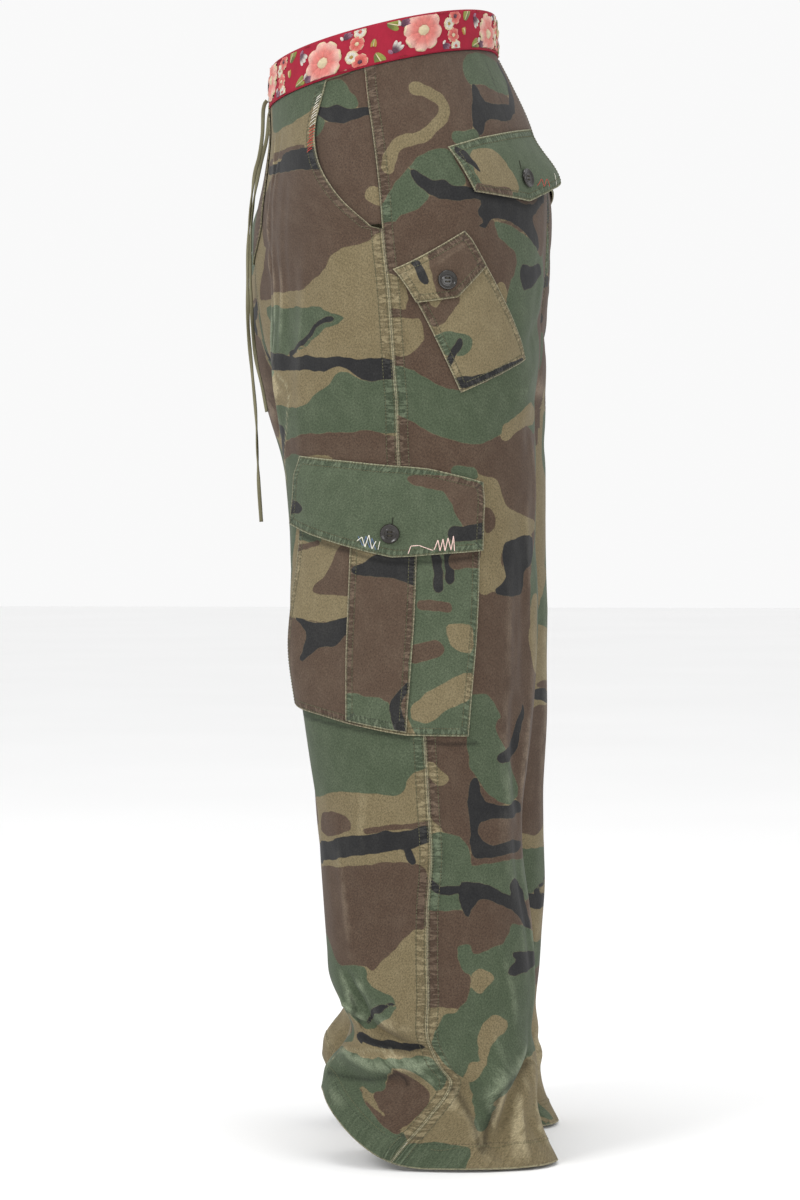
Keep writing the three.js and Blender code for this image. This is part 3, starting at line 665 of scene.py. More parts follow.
# the signed distance to each colour. A stroke cuts what lies under it
def printFields(place, strokes, seed):
    warp = lambda k: 1.0 * softNoise(place, 40, seed + k) + 0.5 * softNoise(place, 12, seed + k + 5)
    bent = place + np.stack([warp(0), warp(20)], axis=-1)
    fields = {name: np.full(place.shape[:-1], 60.0) for name in printColours.values()}
    for colour, radius, line in strokes:
        distance = strokeDistance(bent, rounded(line)) - radius
        for key, name in printColours.items():
            if key == colour:
                fields[name] = np.minimum(fields[name], distance)
            else:
                fields[name] = np.maximum(fields[name], -distance)
    return fields


# exp(-(distance / reach)^2) to the nearest line of a kind
def markFields(place, grid, normal, lines):
    fields = {kind: np.zeros(place.shape[:-1]) for kind in ("pale", "shaded")}
    for kind, reach, pixels in lines:
        distance = strokeDistance(place, curveThrough(nearestOn(grid, normal, place, pixels), 4))
        fields[kind] = np.maximum(fields[kind], np.exp(-((distance / reach) ** 2)))
    return fields


sheetOfPrint = {"half": 172.0, "top": -20.0, "length": 1067.0, "shift": (150.0, 330.0)}


# the print of both left panels as one sheet that repeats, for what the photograph doesn't show
def wholePrint(place, seed, shift=(0.0, 0.0)):
    half, top, length = (sheetOfPrint[key] for key in ("half", "top", "length"))
    across = (place[..., 0] + shift[0] + half) % (2 * half) - half
    along = top - ((top - place[..., 1] + shift[1]) % length)
    sheet = np.stack([across, along], axis=-1)
    front, back = printFields(sheet, placed["front"], seed), printFields(sheet, placed["back"], seed)
    return {name: np.where(across < 0, front[name], back[name]) for name in front}


# Panels

def spaced(fromZ, toZ, step):
    return np.linspace(fromZ, toZ, int(abs(toZ - fromZ) / step) + 1)


seamColumns = [0, 0.8, 2, 4, 7, 10, 11.6, 12.4, 13.2, 15]
fellWidth = 12.4
hemTurned = 24.0


# turns and heights of a panel's grid: fine columns beside the side seam, then even ones
def panelGrid(side, cell, edges, backPanel):
    z = spaced(body["waistZ"] - body["seamGap"], body["hemZ"], cell)[:, None]
    start, end = edges(z)
    start = start + body["seamGap"] / 2 * degreesPerMm(side, start, z)
    end = end - body["seamGap"] / 2 * degreesPerMm(side, end, z)
    near = np.array(seamColumns)[None, :]
    count = int(330 / cell)
    if backPanel:
        beside = start + near * degreesPerMm(side, start, z)
        rest = beside[:, -1:] + (end - beside[:, -1:]) * np.linspace(0, 1, count)[None, 1:]
        turn = np.concatenate([beside, rest], axis=1)
    else:
        beside = end - near[:, ::-1] * degreesPerMm(side, end, z)
        rest = start + (beside[:, :1] - start) * np.linspace(0, 1, count)[None, :-1]
        turn = np.concatenate([rest, beside], axis=1)
    return turn, np.broadcast_to(z, turn.shape)


# second difference of the folds' height, over 4 cells each way, as a painted highlight on the crests
def paintedCrestHighlight(points, normal, reach=4):
    crestHighlight = np.zeros(points.shape[:2])
    for axis in (0, 1):
        before, after = np.roll(points, reach, axis), np.roll(points, -reach, axis)
        bend = np.sum((points - (before + after) / 2) * normal, axis=-1)
        size = np.linalg.norm(after - before, axis=-1)
        bend = bend / np.maximum(size, 1)
        edge = [slice(None), slice(None)]
        edge[axis] = slice(0, reach)
        bend[tuple(edge)] = 0
        edge[axis] = slice(-reach, None)
        bend[tuple(edge)] = 0
        crestHighlight += np.clip(bend - 0.06, 0, None)
    return np.clip(crestHighlight * 9, 0, 1)


def makePanel(side, label, backPanel, cell, materials):
    def edges(z):
        return (seamTurn(z), endTurn(z)) if backPanel else (-endTurn(z), frontEdge(z))

    turn, z = panelGrid(side, cell, edges, backPanel)
    across = arcAcross(plainPoint(side, turn, z))
    width = across[:, -1:]
    fromSeam = across if backPanel else width - across
    offset = np.zeros(turn.shape)
    if backPanel:
        offset = 0.85 * smooth(fromSeam / 0.9) * (1 - smooth((fromSeam - fellWidth + 0.8) / 1.2))
    else:
        gape = smooth((z - mouth["low"] + 4) / 30) * smooth((body["waistZ"] - 12 - z) / 60)
        offset = mouth["lift"] * smooth((1 - fromSeam / width - 0.55) / 0.4) * gape
    hem = z - body["hemZ"]
    offset = offset + 0.55 * (1 - smooth((hem - hemTurned) / 1.5))
    (outer, inner), normal = clothPoints(side, turn, z, offset, offset - body["cloth"])
    place = np.stack([fromSeam if backPanel else -fromSeam, z], axis=-1)
    return {
        "name": f"{'back' if backPanel else 'front'}_{label}", "side": side, "outer": outer, "inner": inner,
        "normal": normal, "place": place, "turn": turn, "z": z, "hem": hem,
        "edge": np.minimum(fromSeam, width - fromSeam), "crestHighlight": paintedCrestHighlight(outer, normal),
        "run": np.where(hem < 28, across, -z), "fromSeam": fromSeam, "materials": materials,
    }


def finishPanel(panel, fields):
    values = dict(fields, edge=panel["edge"], hem=panel["hem"], crestHighlight=panel["crestHighlight"], run=panel["run"])
    piece = shell(f"{panel['name']}_panel", panel["side"], panel["outer"], panel["inner"], panel["materials"],
                  panel["place"], values)
    finishPiece(piece, "cloth", panel["name"])


# Materials

# an sRGB hex colour as linear values
def linear(hexColour):
    value = np.array([int(hexColour[i:i + 2], 16) for i in (1, 3, 5)]) / 255
    return (*np.where(value <= 0.04045, value / 12.92, ((value + 0.055) / 1.055) ** 2.4), 1.0)


def newMaterial(name):
    material = bpy.data.materials.new(name)
    material.use_nodes = True
    tree = material.node_tree
    tree.nodes.clear()
    output = tree.nodes.new("ShaderNodeOutputMaterial")
    shader = tree.nodes.new("ShaderNodeBsdfPrincipled")
    tree.links.new(shader.outputs[0], output.inputs[0])
    return material, tree, shader


# adds a node. An input is a value, an output to link, or None to leave it
def node(tree, kind, inputs=(), **settings):
    made = tree.nodes.new("ShaderNode" + kind)
    for key, value in settings.items():
        setattr(made, key, value)
    pairs = inputs.items() if isinstance(inputs, dict) else enumerate(inputs)
    for key, value in pairs:
        if value is None:
            continue
        if isinstance(value, bpy.types.NodeSocket):
            tree.links.new(value, made.inputs[key])
        else:
            made.inputs[key].default_value = value
    return made.outputs[0]


def maths(tree, operation, *inputs):
    return node(tree, "Math", inputs, operation=operation)


def attribute(tree, name):
    return node(tree, "Attribute", attribute_name=name).node.outputs["Fac"]


def mixColour(tree, factor, a, b, blend="MIX"):
    made = tree.nodes.new("ShaderNodeMix")
    made.data_type, made.blend_type = "RGBA", blend
    for socket, value in ((made.inputs[0], factor), (made.inputs[6], a), (made.inputs[7], b)):
        if isinstance(value, bpy.types.NodeSocket):
            tree.links.new(value, socket)
        else:
            socket.default_value = value
    return made.outputs[2]


# 0 at low, 1 at high, smooth between them
def ramp(tree, value, low, high):
    return node(tree, "MapRange", [value, low, high, 0.0, 1.0], interpolation_type="SMOOTHSTEP")


# 1 on a line at a distance, 0 beyond its reach on both sides
def lineAt(tree, distance, at, reach):
    off = maths(tree, "ABSOLUTE", maths(tree, "SUBTRACT", distance, at))
    return ramp(tree, off, reach, 0.0)


# the place on the cloth in millimetres
def clothPlace(tree):
    made = tree.nodes.new("ShaderNodeUVMap")
    made.uv_map = "cloth"
    return node(tree, "VectorMath", {0: made.outputs[0], "Scale": 1000.0}, operation="SCALE")


# the place turned by radians and divided by the size of a grain across and along, in millimetres
def stretched(tree, place, across, along, turned=0.0):
    made = tree.nodes.new("ShaderNodeMapping")
    made.inputs["Rotation"].default_value = (0, 0, turned)
    made.inputs["Scale"].default_value = (1, 1, 1)
    tree.links.new(place, made.inputs["Vector"])
    return node(tree, "VectorMath", [made.outputs[0], (1 / across, 1 / along, 1)], operation="MULTIPLY")


def noise(tree, place, detail=2.0, roughness=0.5):
    return node(tree, "TexNoise", {"Vector": place, "Scale": 1.0, "Detail": detail, "Roughness": roughness})


printTones = {"tan": "#695e45", "brown": "#47382d", "green": "#404a38", "black": "#1f1f20"}
fadedTones = {"tan": "#91866a", "brown": "#6f6152", "green": "#6c7560", "black": "#454441"}
stitchRows = {"fell": (2.2, 10.4), "pocket": (1.8, 7.4)}


def printColour(tree, tones):
    colour = linear(tones["tan"])
    for tone, field in (("brown", "brownField"), ("green", "greenField"), ("black", "blackField")):
        covered = ramp(tree, attribute(tree, field), 0.45, -0.45)
        colour = mixColour(tree, covered, colour, linear(tones[tone]))
    return colour


# printed cotton twill: heathered, paler on its rubbed rims, with a painted highlight on fold crests, puckered
# in ladders along its sewn bands, and with painted shade in the pucker hollows, the stitch dents and along
# the shaded lines
def twill(name, sewnAt, faded=0.0):
    material, tree, shader = newMaterial(name)
    place = clothPlace(tree)
    edge, hem, run, crestHighlight = (attribute(tree, key) for key in ("edge", "hem", "run", "crestHighlight"))
    pale, shaded = attribute(tree, "pale"), attribute(tree, "shaded")
    full, bleached = printColour(tree, printTones), printColour(tree, fadedTones)
    times = lambda a, b: maths(tree, "MULTIPLY", a, b)
    plus = lambda a, b: maths(tree, "ADD", a, b)
    most = lambda a, b: maths(tree, "MAXIMUM", a, b)

    mottle = noise(tree, stretched(tree, place, 16.0, 24.0), 4.0, 0.65)
    patchy = noise(tree, stretched(tree, place, 5.0, 5.0), 3.0, 0.6)
    ladderPlace = node(tree, "CombineXYZ", [times(run, 1 / 2.7), times(edge, 1 / 11.0), 0.0])
    ladder = ramp(tree, noise(tree, ladderPlace, 1.5, 0.5), 0.46, 0.57)
    inBand = most(ramp(tree, edge, sewnAt[1] + 1.4, sewnAt[1] + 0.2), times(ramp(tree, hem, 26.0, 24.6), 0.3))
    rows = most(most(lineAt(tree, edge, sewnAt[0], 0.75), lineAt(tree, edge, sewnAt[1], 0.75)),
                lineAt(tree, hem, hemTurned, 0.75))
    dashes = ramp(tree, maths(tree, "FRACT", times(run, 1 / 3.1)), 0.74, 0.62)
    rim = most(ramp(tree, edge, 1.5, 0.5), ramp(tree, hem, 1.9, 0.7))
    rim = times(rim, ramp(tree, patchy, 0.26, 0.48))

    # fading: wear on the pucker ridges, a painted highlight on the fold crests, mottled fading, and paler
    # cloth between the stitches
    fadeAndHighlight = plus(times(times(inBand, ladder), 0.3), times(crestHighlight, ramp(tree, mottle, 0.3, 0.6)))
    fadeAndHighlight = plus(fadeAndHighlight, times(ramp(tree, mottle, 0.35, 0.75), 0.16))
    fadeAndHighlight = plus(fadeAndHighlight, times(times(rows, maths(tree, "SUBTRACT", 1.0, dashes)), 0.2))
    fadeAndHighlight = node(tree, "Clamp", [plus(fadeAndHighlight, faded), 0.0, 1.0])
    colour = mixColour(tree, fadeAndHighlight, full, bleached)
    # pale cream: the rims rubbed pale by wear, and a painted highlight along the marked crest lines
    worn = most(times(rim, 0.62), times(pale, times(ramp(tree, patchy, 0.3, 0.6), 0.5)))
    colour = mixColour(tree, worn, colour, linear("#a39d81"))

    threads = noise(tree, stretched(tree, place, 0.5, 2.6, 1.1), 2.0, 0.7)
    heather = noise(tree, stretched(tree, place, 1.5, 2.1, 0.5), 3.0, 0.85)
    light = plus(times(threads, 0.5), times(heather, 2.3))
    light = plus(light, -0.43)
    # painted shade: darker in the hollows between the puckers, in dashes in the stitch dents along the rows,
    # and along the shaded lines
    light = maths(tree, "SUBTRACT", light, times(times(inBand, maths(tree, "SUBTRACT", 1.0, ladder)), 0.2))
    light = times(light, maths(tree, "SUBTRACT", 1.0, times(times(rows, dashes), 0.3)))
    light = times(light, maths(tree, "SUBTRACT", 1.0, times(shaded, 0.55)))
    grey = node(tree, "CombineColor", [light, light, light])
    tree.links.new(mixColour(tree, 1.0, colour, grey, "MULTIPLY"), shader.inputs["Base Color"])
    shader.inputs["Roughness"].default_value = 0.9
    shader.inputs["Specular IOR Level"].default_value = 0.18
    shader.inputs["Sheen Weight"].default_value = 0.06
    shader.inputs["Sheen Roughness"].default_value = 0.6

    rib = node(tree, "TexWave", {"Vector": stretched(tree, place, 0.85, 0.85, 1.1), "Scale": 0.318})
    crinkle = noise(tree, stretched(tree, place, 9.0, 14.0), 3.0, 0.55)
    height = plus(plus(times(rib, 0.05), times(threads, 0.06)), times(crinkle, 0.45))
    height = plus(height, plus(times(rows, -0.5), times(times(inBand, ladder), 0.55)))
    height = plus(height, plus(times(heather, 0.08), times(pale, 0.5)))
    bump = node(tree, "Bump", {"Strength": 0.8, "Distance": metre, "Height": height})
    tree.links.new(bump, shader.inputs["Normal"])
    return material


# unprinted cotton with a woven grain, such as the reverse of the print or the tape
def plainCloth(name, colour, spread=0.3, roughness=0.88):
    material, tree, shader = newMaterial(name)
    place = clothPlace(tree)
    threads = noise(tree, stretched(tree, place, 0.5, 2.4, 1.1), 2.0, 0.7)
    mottle = noise(tree, stretched(tree, place, 12.0, 18.0), 4.0, 0.6)
    light = maths(tree, "MULTIPLY", maths(tree, "ADD", threads, mottle), spread)
    light = maths(tree, "ADD", light, 1 - spread)
    shade = node(tree, "CombineColor", [light, light, light])
    tree.links.new(mixColour(tree, 1.0, linear(colour), shade, "MULTIPLY"), shader.inputs["Base Color"])
    shader.inputs["Roughness"].default_value = roughness
    shader.inputs["Specular IOR Level"].default_value = 0.2
    bump = node(tree, "Bump", {"Strength": 0.5, "Distance": 0.1 * metre, "Height": threads})
    tree.links.new(bump, shader.inputs["Normal"])
    return material


# dark brown urea with a dull gloss and fine scuffs
def buttonPlastic():
    material, tree, shader = newMaterial("urea button")
    here = node(tree, "TexCoord").node.outputs["Object"]
    cloud = noise(tree, node(tree, "VectorMath", [here, (260, 260, 260)], operation="MULTIPLY"), 3.0)
    tree.links.new(mixColour(tree, cloud, linear("#141210"), linear("#26211b")), shader.inputs["Base Color"])
    scuff = noise(tree, node(tree, "VectorMath", [here, (900, 900, 900)], operation="MULTIPLY"), 3.0)
    tree.links.new(ramp(tree, scuff, -0.2, 2.2), shader.inputs["Roughness"])
    bump = node(tree, "Bump", {"Strength": 0.3, "Distance": 0.05 * metre, "Height": scuff})
    tree.links.new(bump, shader.inputs["Normal"])
    return material


panelTwill = twill("printed twill cotton, felled seams", stitchRows["fell"])
pocketTwill = twill("printed twill cotton, sewn pocket edges", stitchRows["pocket"], 0.08)
reverseTwill = plainCloth("reverse of the printed twill", "#77745f")
bandCotton = plainCloth("red cotton ground", "#8c1d30", 0.5)
tapeCotton = plainCloth("olive cotton tape", "#6f6b55", 0.45)
urea = buttonPlastic()
clothMaterials = [panelTwill, reverseTwill]
pocketMaterials = [pocketTwill, reverseTwill]

# Drawstring: the free ends of a flat cotton tape, routes in metres from the eyelets down
drawcord = {"width": 4.0, "thickness": 2.0, "routes": {
    "left": [
        (0.0225, -0.1111, -0.0365), (0.0224, -0.1132, -0.0393), (0.0222, -0.1144, -0.043),
        (0.0218, -0.1152, -0.049), (0.0205, -0.1162, -0.071), (0.0185, -0.1195, -0.092),
        (0.017, -0.125, -0.113), (0.015, -0.13, -0.155), (0.0145, -0.132, -0.193),
        (0.014, -0.132, -0.248), (0.014, -0.131, -0.274), (0.015, -0.1275, -0.31),
        (0.016, -0.1235, -0.354), (0.0165, -0.122, -0.392), (0.017, -0.1205, -0.425),
        (0.0175, -0.118, -0.461),
    ],
    "right": [
        (-0.0295, -0.1102, -0.0365), (-0.0292, -0.1125, -0.0393), (-0.0286, -0.1142, -0.043),
        (-0.0274, -0.1154, -0.049), (-0.0248, -0.1175, -0.071), (-0.021, -0.124, -0.1),
        (-0.019, -0.13, -0.135), (-0.018, -0.1335, -0.18), (-0.018, -0.1325, -0.24),
        (-0.0175, -0.1285, -0.29), (-0.017, -0.121, -0.325), (-0.0165, -0.1165, -0.349),
    ],
}}


# a tube: path + width/2 cos a * side + thickness/2 sin a * front, front one direction or one for each point
# points and quads of a flat tube along a path, with closed ends, and its place
def ribbon(path, width, thickness, front, around=12):
    ahead = np.gradient(path, axis=0)
    ahead /= np.linalg.norm(ahead, axis=1, keepdims=True)
    sideways = np.cross(ahead, front)
    sideways /= np.linalg.norm(sideways, axis=1, keepdims=True)
    outward = np.cross(sideways, ahead)
    angle = np.arange(around) * 2 * np.pi / around
    cosine, sine = signedPower(np.cos(angle), 0.7), signedPower(np.sin(angle), 0.7)
    points = path[:, None] + width / 2 * cosine[None, :, None] * sideways[:, None]
    points = points + thickness / 2 * sine[None, :, None] * outward[:, None]
    count = len(path)
    at = np.arange(count * around).reshape(count, around)
    after = np.roll(at, -1, axis=1)
    quads = np.stack([at[:-1], after[:-1], after[1:], at[1:]], axis=-1).reshape(-1, 4)
    half = around // 2
    across = np.arange(half - 1)
    cap = lambda row: np.stack([row[across], row[across + 1], row[-across - 2], row[-across - 1]], axis=1)
    quads = np.concatenate([quads, cap(at[0])[:, ::-1], cap(at[-1])])
    length = np.concatenate([[0], np.cumsum(np.linalg.norm(np.diff(path, axis=0), axis=1))])
    place = np.stack(np.broadcast_arrays(angle[None, :] * width / 3, length[:, None]), axis=-1)
    return points.reshape(-1, 3), quads, place.reshape(-1, 2)


def makeDrawcord(label):
    path = curveThrough(np.array(drawcord["routes"][label]) / metre, 12)
    twist = 0.6 + 0.9 * np.sin(path[:, 2] / 34) + 0.5 * np.sin(path[:, 2] / 13)
    front = np.stack([np.cos(twist), -np.sin(twist), 0 * twist], axis=1)
    points, quads, place = ribbon(path, drawcord["width"], drawcord["thickness"], front)
    piece = meshObject(f"drawcord_{label}_tape", points, quads, [tapeCotton], uv=place)
    finishPiece(piece, "tape", f"drawcord_{label}")


for label in ("left", "right"):
    makeDrawcord(label)
print("drawstring done")

# The four panels and the facings that show in the pocket mouths
leftCell, rightCell = 3.1, 5.2
panels = {}
for side, label, cell in ((1, "left", leftCell), (-1, "right", rightCell)):
    for backPanel in (False, True):
        panel = makePanel(side, label, backPanel, cell, clothMaterials)
        panels[panel["name"]] = panel
placed = {}
for key, strokes in (("front", frontPrint), ("back", backPrint)):
    panel = panels[f"{key}_left"]
    placed[key] = placeStrokes(strokes, panel["outer"], panel["normal"], panel["place"])
    panel["marks"] = markFields(panel["place"], panel["outer"], panel["normal"], marks[key])
    # the crest lines that carry a painted highlight also stand 0.7 mm proud
    ridge = 0.7 * panel["marks"]["pale"][..., None] * panel["normal"]
    panel["outer"], panel["inner"] = panel["outer"] + ridge, panel["inner"] + ridge


# the print as photographed, and beyond what the photograph shows the sheet moved on
def leftPrint(panel, key):
    seen = printFields(panel["place"], placed[key], 40)
    hidden = wholePrint(panel["place"], 70, sheetOfPrint["shift"])
    beyond = np.abs(panel["turn"]) + 3 * softNoise(panel["place"], 60, 3) > 103
    return {name: np.where(beyond, hidden[name], seen[name]) for name in seen}


for name, panel in panels.items():
    key = name.split("_")[0]
    if panel["side"] > 0:
        fields = leftPrint(panel, key) | panel["marks"]
    else:
        fields = wholePrint(panel["place"] * np.array([-1, 1]), 50, (60.0, 520.0))
    finishPanel(panel, fields)
print("panels done")


def makeFacing(side, label):
    columns, rows = 16, 50
    u, v = np.meshgrid(np.linspace(0, 1, columns + 1), np.linspace(0, 1, rows + 1))
    z = mix(body["waistZ"] - body["seamGap"], mouth["low"] + 3, v)
    inset = body["seamGap"] * degreesPerMm(side, seamTurn(z), z)
    under = np.minimum(-(body["cloth"] + 0.5) * (1 - smooth((u - 0.55) / 0.4)), -0.02)
    turn = mix(frontEdge(z) - 5, seamTurn(z) - inset, u)
    outer, inner = clothPoints(side, turn, z, under, under - body["cloth"])[0]
    across = arcAcross(outer)
    place = np.stack([across - across[:, -1:], z], axis=-1)
    far = np.full(z.shape, 100.0)
    fields = wholePrint(place, 61, (95.0, 90.0))
    values = dict(fields, edge=far, hem=far)
    piece = shell(f"facing_{label}", side, outer, inner, clothMaterials, place, values)
    finishPiece(piece, "facing", f"pocket_facing_{label}")


for side, label in ((1, "left"), (-1, "right")):
    makeFacing(side, label)
print("facings done")

# Pieces that lie on the panels: the lines of their upper and lower edges as turn and height
patches = {
    "back_flap": {"upper": [(22, -111.5), (37, -105.5), (58.5, -100.5), (80, -96)],
                  "lower": [(31, -152.6), (46, -156.5), (62, -159.6), (90, -141)]},
    "hip_pocket": {"upper": [(2.5, -230), (29.5, -196)], "lower": [(25, -336.6), (64.5, -302.6)]},
    "hip_pocket_flap": {"upper": [(-0.5, -219.6), (13, -202.6), (26.5, -185.6)],
                        "lower": [(6.5, -251.6), (23, -246.6), (35.5, -217.6)]},
    "cargo_pocket": {"upper": [(-52, -408), (-22, -414), (8, -421), (34.5, -434)],
                     "lower": [(-76, -637), (-30.5, -655), (-1, -666), (27.5, -667)]},
    "cargo_pleat": {"upper": [(-20, -432), (5.5, -436)], "lower": [(-30.5, -652), (-1, -663)]},
    "cargo_flap": {"upper": [(-51, -396), (-20, -402), (9.5, -409), (35.5, -422)],
                   "lower": [(-64, -462), (-34, -478), (-4.5, -494), (33.5, -488)]},
}
pocketSwell = 1.8
frontStand = 5.0
cornerLift = {1: 13.0, -1: 0.5}
pleatRise = pocketSwell + body["cloth"] + 0.6
flapRise = pleatRise + body["cloth"] + 0.8
hipFlapRise = pocketSwell + body["cloth"] + 0.8


def hump(u, v):
    return np.sqrt(np.clip(np.sin(np.pi * np.clip(u, 0, 1)) * np.sin(np.pi * np.clip(v, 0, 1)), 0, None))


patchRise = {
    "back_flap": lambda u, v: 1.6 * smooth(v / 0.4),
    "hip_pocket": lambda u, v: pocketSwell * hump(u, v),
    "hip_pocket_flap": lambda u, v: hipFlapRise * smooth(v / 0.3),
    "cargo_pocket": lambda u, v: (pocketSwell * hump(u, v)
                                  + frontStand * smooth(1 - u / 0.3) * smooth((v - 0.4) / 0.6)),
    "cargo_pleat": lambda u, v: body["cloth"] + 0.5 + pocketSwell * hump(0.35 + 0.3 * u, 0.06 + 0.9 * v),
    "cargo_flap": lambda u, v: flapRise * smooth(v / 0.32),
}


def alongLine(line, u):
    line = np.array(line, float)
    t = np.linspace(0, 1, len(line))
    return np.interp(u, t, line[:, 0]), np.interp(u, t, line[:, 1])


# outer point = cloth at mix(upper, lower, v), raised by seat + cloth + rise(u, v)
def patchPoints(kind, side, u, v, extra=0.0):
    patch = patches[kind]
    top, low = alongLine(patch["upper"], u), alongLine(patch["lower"], u)
    turn, z = mix(top[0], low[0], v), mix(top[1], low[1], v)
    rise = body["seat"] + body["cloth"] + patchRise[kind](u, v) + extra
    if kind == "back_flap":
        rise = rise + cornerLift[side] * smooth((u - 0.62) / 0.38) * smooth((v - 0.2) / 0.8)
    (outer, inner), normal = clothPoints(side, turn, z, rise, rise - body["cloth"])
    return outer, inner, normal


# Print on the pieces that the photograph shows, as for the panels
patchPrint = {
    "back_flap": [
        ("g", 200, [(500, 160), (520, 170)]),
        ("t", 0, closed((466, 146), (496, 150), (524, 196), (480, 190))),
        ("k", 0, closed((452, 146), (468, 152), (484, 176), (460, 158))),
        ("b", 6, [(480, 190), (508, 194)]),
    ],
    "cargo_flap": [
        ("g", 300, [(380, 500), (400, 510)]),
        ("b", 0, closed((404, 474), (490, 480), (490, 534), (466, 530), (446, 492), (410, 484))),
        ("k", 8, [(456, 534), (484, 532)]),
        ("k", 0, closed((282, 500), (292, 500), (300, 504), (304, 510), (298, 514), (282, 514))),
    ],
    "cargo_pocket": [
        ("t", 0, closed((270, 500), (360, 500), (360, 760), (270, 760))),
        ("g", 0, closed((408, 500), (500, 500), (500, 760), (408, 760))),
        ("g", 5, [(286, 534), (318, 538)]),
        ("b", 3, [(292, 550), (304, 547), (318, 542)]),
        ("b", 0, closed((366, 540), (366, 598), (312, 594), (314, 584), (326, 576), (340, 540))),
        ("b", 0, closed((366, 616), (366, 760), (270, 760), (270, 616), (312, 622))),
        ("k", 0, closed((366, 614), (366, 640), (346, 634), (336, 648), (322, 646), (304, 660),
                        (298, 658), (310, 634), (292, 616), (316, 624))),
        ("b", 5, [(421, 605), (447, 607)]),
        ("b", 9, [(417, 653), (434, 649)]),
        ("t", 0, closed((444, 622), (474, 624), (474, 656), (452, 650))),
        ("t", 0, closed((474, 666), (472, 700), (456, 704), (430, 724), (410, 720), (410, 704))),
        ("k", 5, [(436, 556), (438, 588)]),
        ("k", 5, [(449, 554), (450, 578)]),
        ("b", 9, [(458, 560), (480, 560)]),
    ],
    "cargo_pleat": [
        ("b", 200, [(385, 640), (390, 650)]),
        ("t", 0, closed((340, 540), (384, 540), (374, 556), (358, 564), (340, 564))),
        ("k", 0, closed((350, 566), (362, 564), (380, 552), (430, 552), (430, 592), (390, 576),
                        (350, 576))),
        ("g", 0, closed((336, 700), (348, 694), (388, 696), (400, 740), (336, 740))),
        ("g", 6, [(418, 640), (414, 676)]),
        ("k", 0, closed((408, 678), (412, 684), (400, 704), (402, 718), (412, 732), (398, 738),
                        (390, 722), (388, 706))),
    ],
    "hip_pocket_flap": [
        ("t", 0, closed((380, 250), (434, 240), (440, 300), (380, 310))),
        ("b", 0, closed((434, 230), (490, 230), (490, 290), (438, 304), (430, 270))),
        ("k", 4, [(414, 262), (424, 280)]),
    ],
    "hip_pocket": [
        ("t", 200, [(460, 330), (470, 340)]),
        ("b", 8, [(420, 306), (435, 318), (452, 300)]),
        ("g", 0, closed((424, 336), (448, 330), (474, 336), (470, 356), (440, 356))),
        ("k", 4, [(460, 342), (446, 366)]),
        ("k", 5, [(450, 382), (486, 378), (522, 363)]),
    ],
}


patchGrids = {}


# a pocket piece on a grid of even cells. It keeps its grid for the rows of stitches
def makePatch(kind, side, label, cell):
    step = np.linspace(0, 1, 60)
    half = np.full(step.shape, 0.5)
    middle, upright = patchPoints(kind, side, step, half)[0], patchPoints(kind, side, half, step)[0]
    width, height = (np.linalg.norm(np.diff(line, axis=0), axis=1).sum() for line in (middle, upright))
    u, v = np.meshgrid(np.linspace(0, 1, int(width / cell) + 1), np.linspace(0, 1, int(height / cell) + 1))
    outer, inner, normal = patchPoints(kind, side, u, v)
    across, along = arcAcross(outer), arcAcross(outer.transpose(1, 0, 2)).T
    place = np.stack([across, -along], axis=-1)
    fromSide = np.minimum(across, across[:, -1:] - across)
    fromEnd = np.minimum(along, along[-1:] - along)
    if side > 0:
        fields = printFields(place, placeStrokes(patchPrint[kind], outer, normal, place), 90)
        fields |= markFields(place, outer, normal, marks.get(kind, []))
    else:
        fields = wholePrint(place, 30, (25.0 * len(kind), 71.0 * len(kind)))
    values = dict(fields, edge=np.minimum(fromSide, fromEnd), hem=np.full(u.shape, 100.0),
                  crestHighlight=paintedCrestHighlight(outer, normal), run=np.where(fromSide < fromEnd, along, across))
    piece = shell(f"{kind}{label}_cloth", side, outer, inner, pocketMaterials, place, values)
    finishPiece(piece, "cloth", f"{kind}{label}")
    patchGrids[kind, side] = {"outer": outer, "normal": normal}


for side, label, cell in ((1, "_left", 2.0), (-1, "_right", 3.0)):
    for kind in ("back_flap", "cargo_pocket", "cargo_pleat", "cargo_flap"):
        makePatch(kind, side, label, cell)
for kind in ("hip_pocket", "hip_pocket_flap"):
    makePatch(kind, 1, "", 1.8)
print("pockets done")

# Fly flap on the left front
fly = {"width": 38.0, "low": -196.0}


def makeFly():
    u, v = np.meshgrid(np.linspace(0, 1, 18), np.linspace(0, 1, 60))
    z = mix(body["waistZ"] - 1, fly["low"], v)
    width = fly["width"] * np.sqrt(1 - 0.95 * smooth((v - 0.6) / 0.4) ** 2)
    turn = -mix(turnAtX(0.5, z), turnAtX(width, z), u)
    rise = body["seat"] + 0.3 + body["cloth"]
    outer, inner = clothPoints(1, turn, z, rise, rise - body["cloth"])[0]
    across, along = arcAcross(outer), arcAcross(outer.transpose(1, 0, 2)).T
    place = np.stack([across, -along], axis=-1)
    edge = np.minimum(across[:, -1:] - across, along[-1:] - along)
    values = dict(wholePrint(place, 15, (100.0, 640.0)), edge=edge, hem=np.full(z.shape, 100.0), run=along)
    piece = shell("fly_flap", 1, outer, inner, pocketMaterials, place, values)
    finishPiece(piece, "cloth", "fly")


makeFly()

# Stitches: bars of thread that dip into the cloth at both ends

sewing = {"pitch": 3.1, "length": 2.3, "radius": 0.3, "rise": np.array([-0.35, 0.2, 0.2, -0.35]),
          "at": np.array([0, 0.2, 0.8, 1])}
sewnThread = plainCloth("olive sewing thread", "#5f5e47")


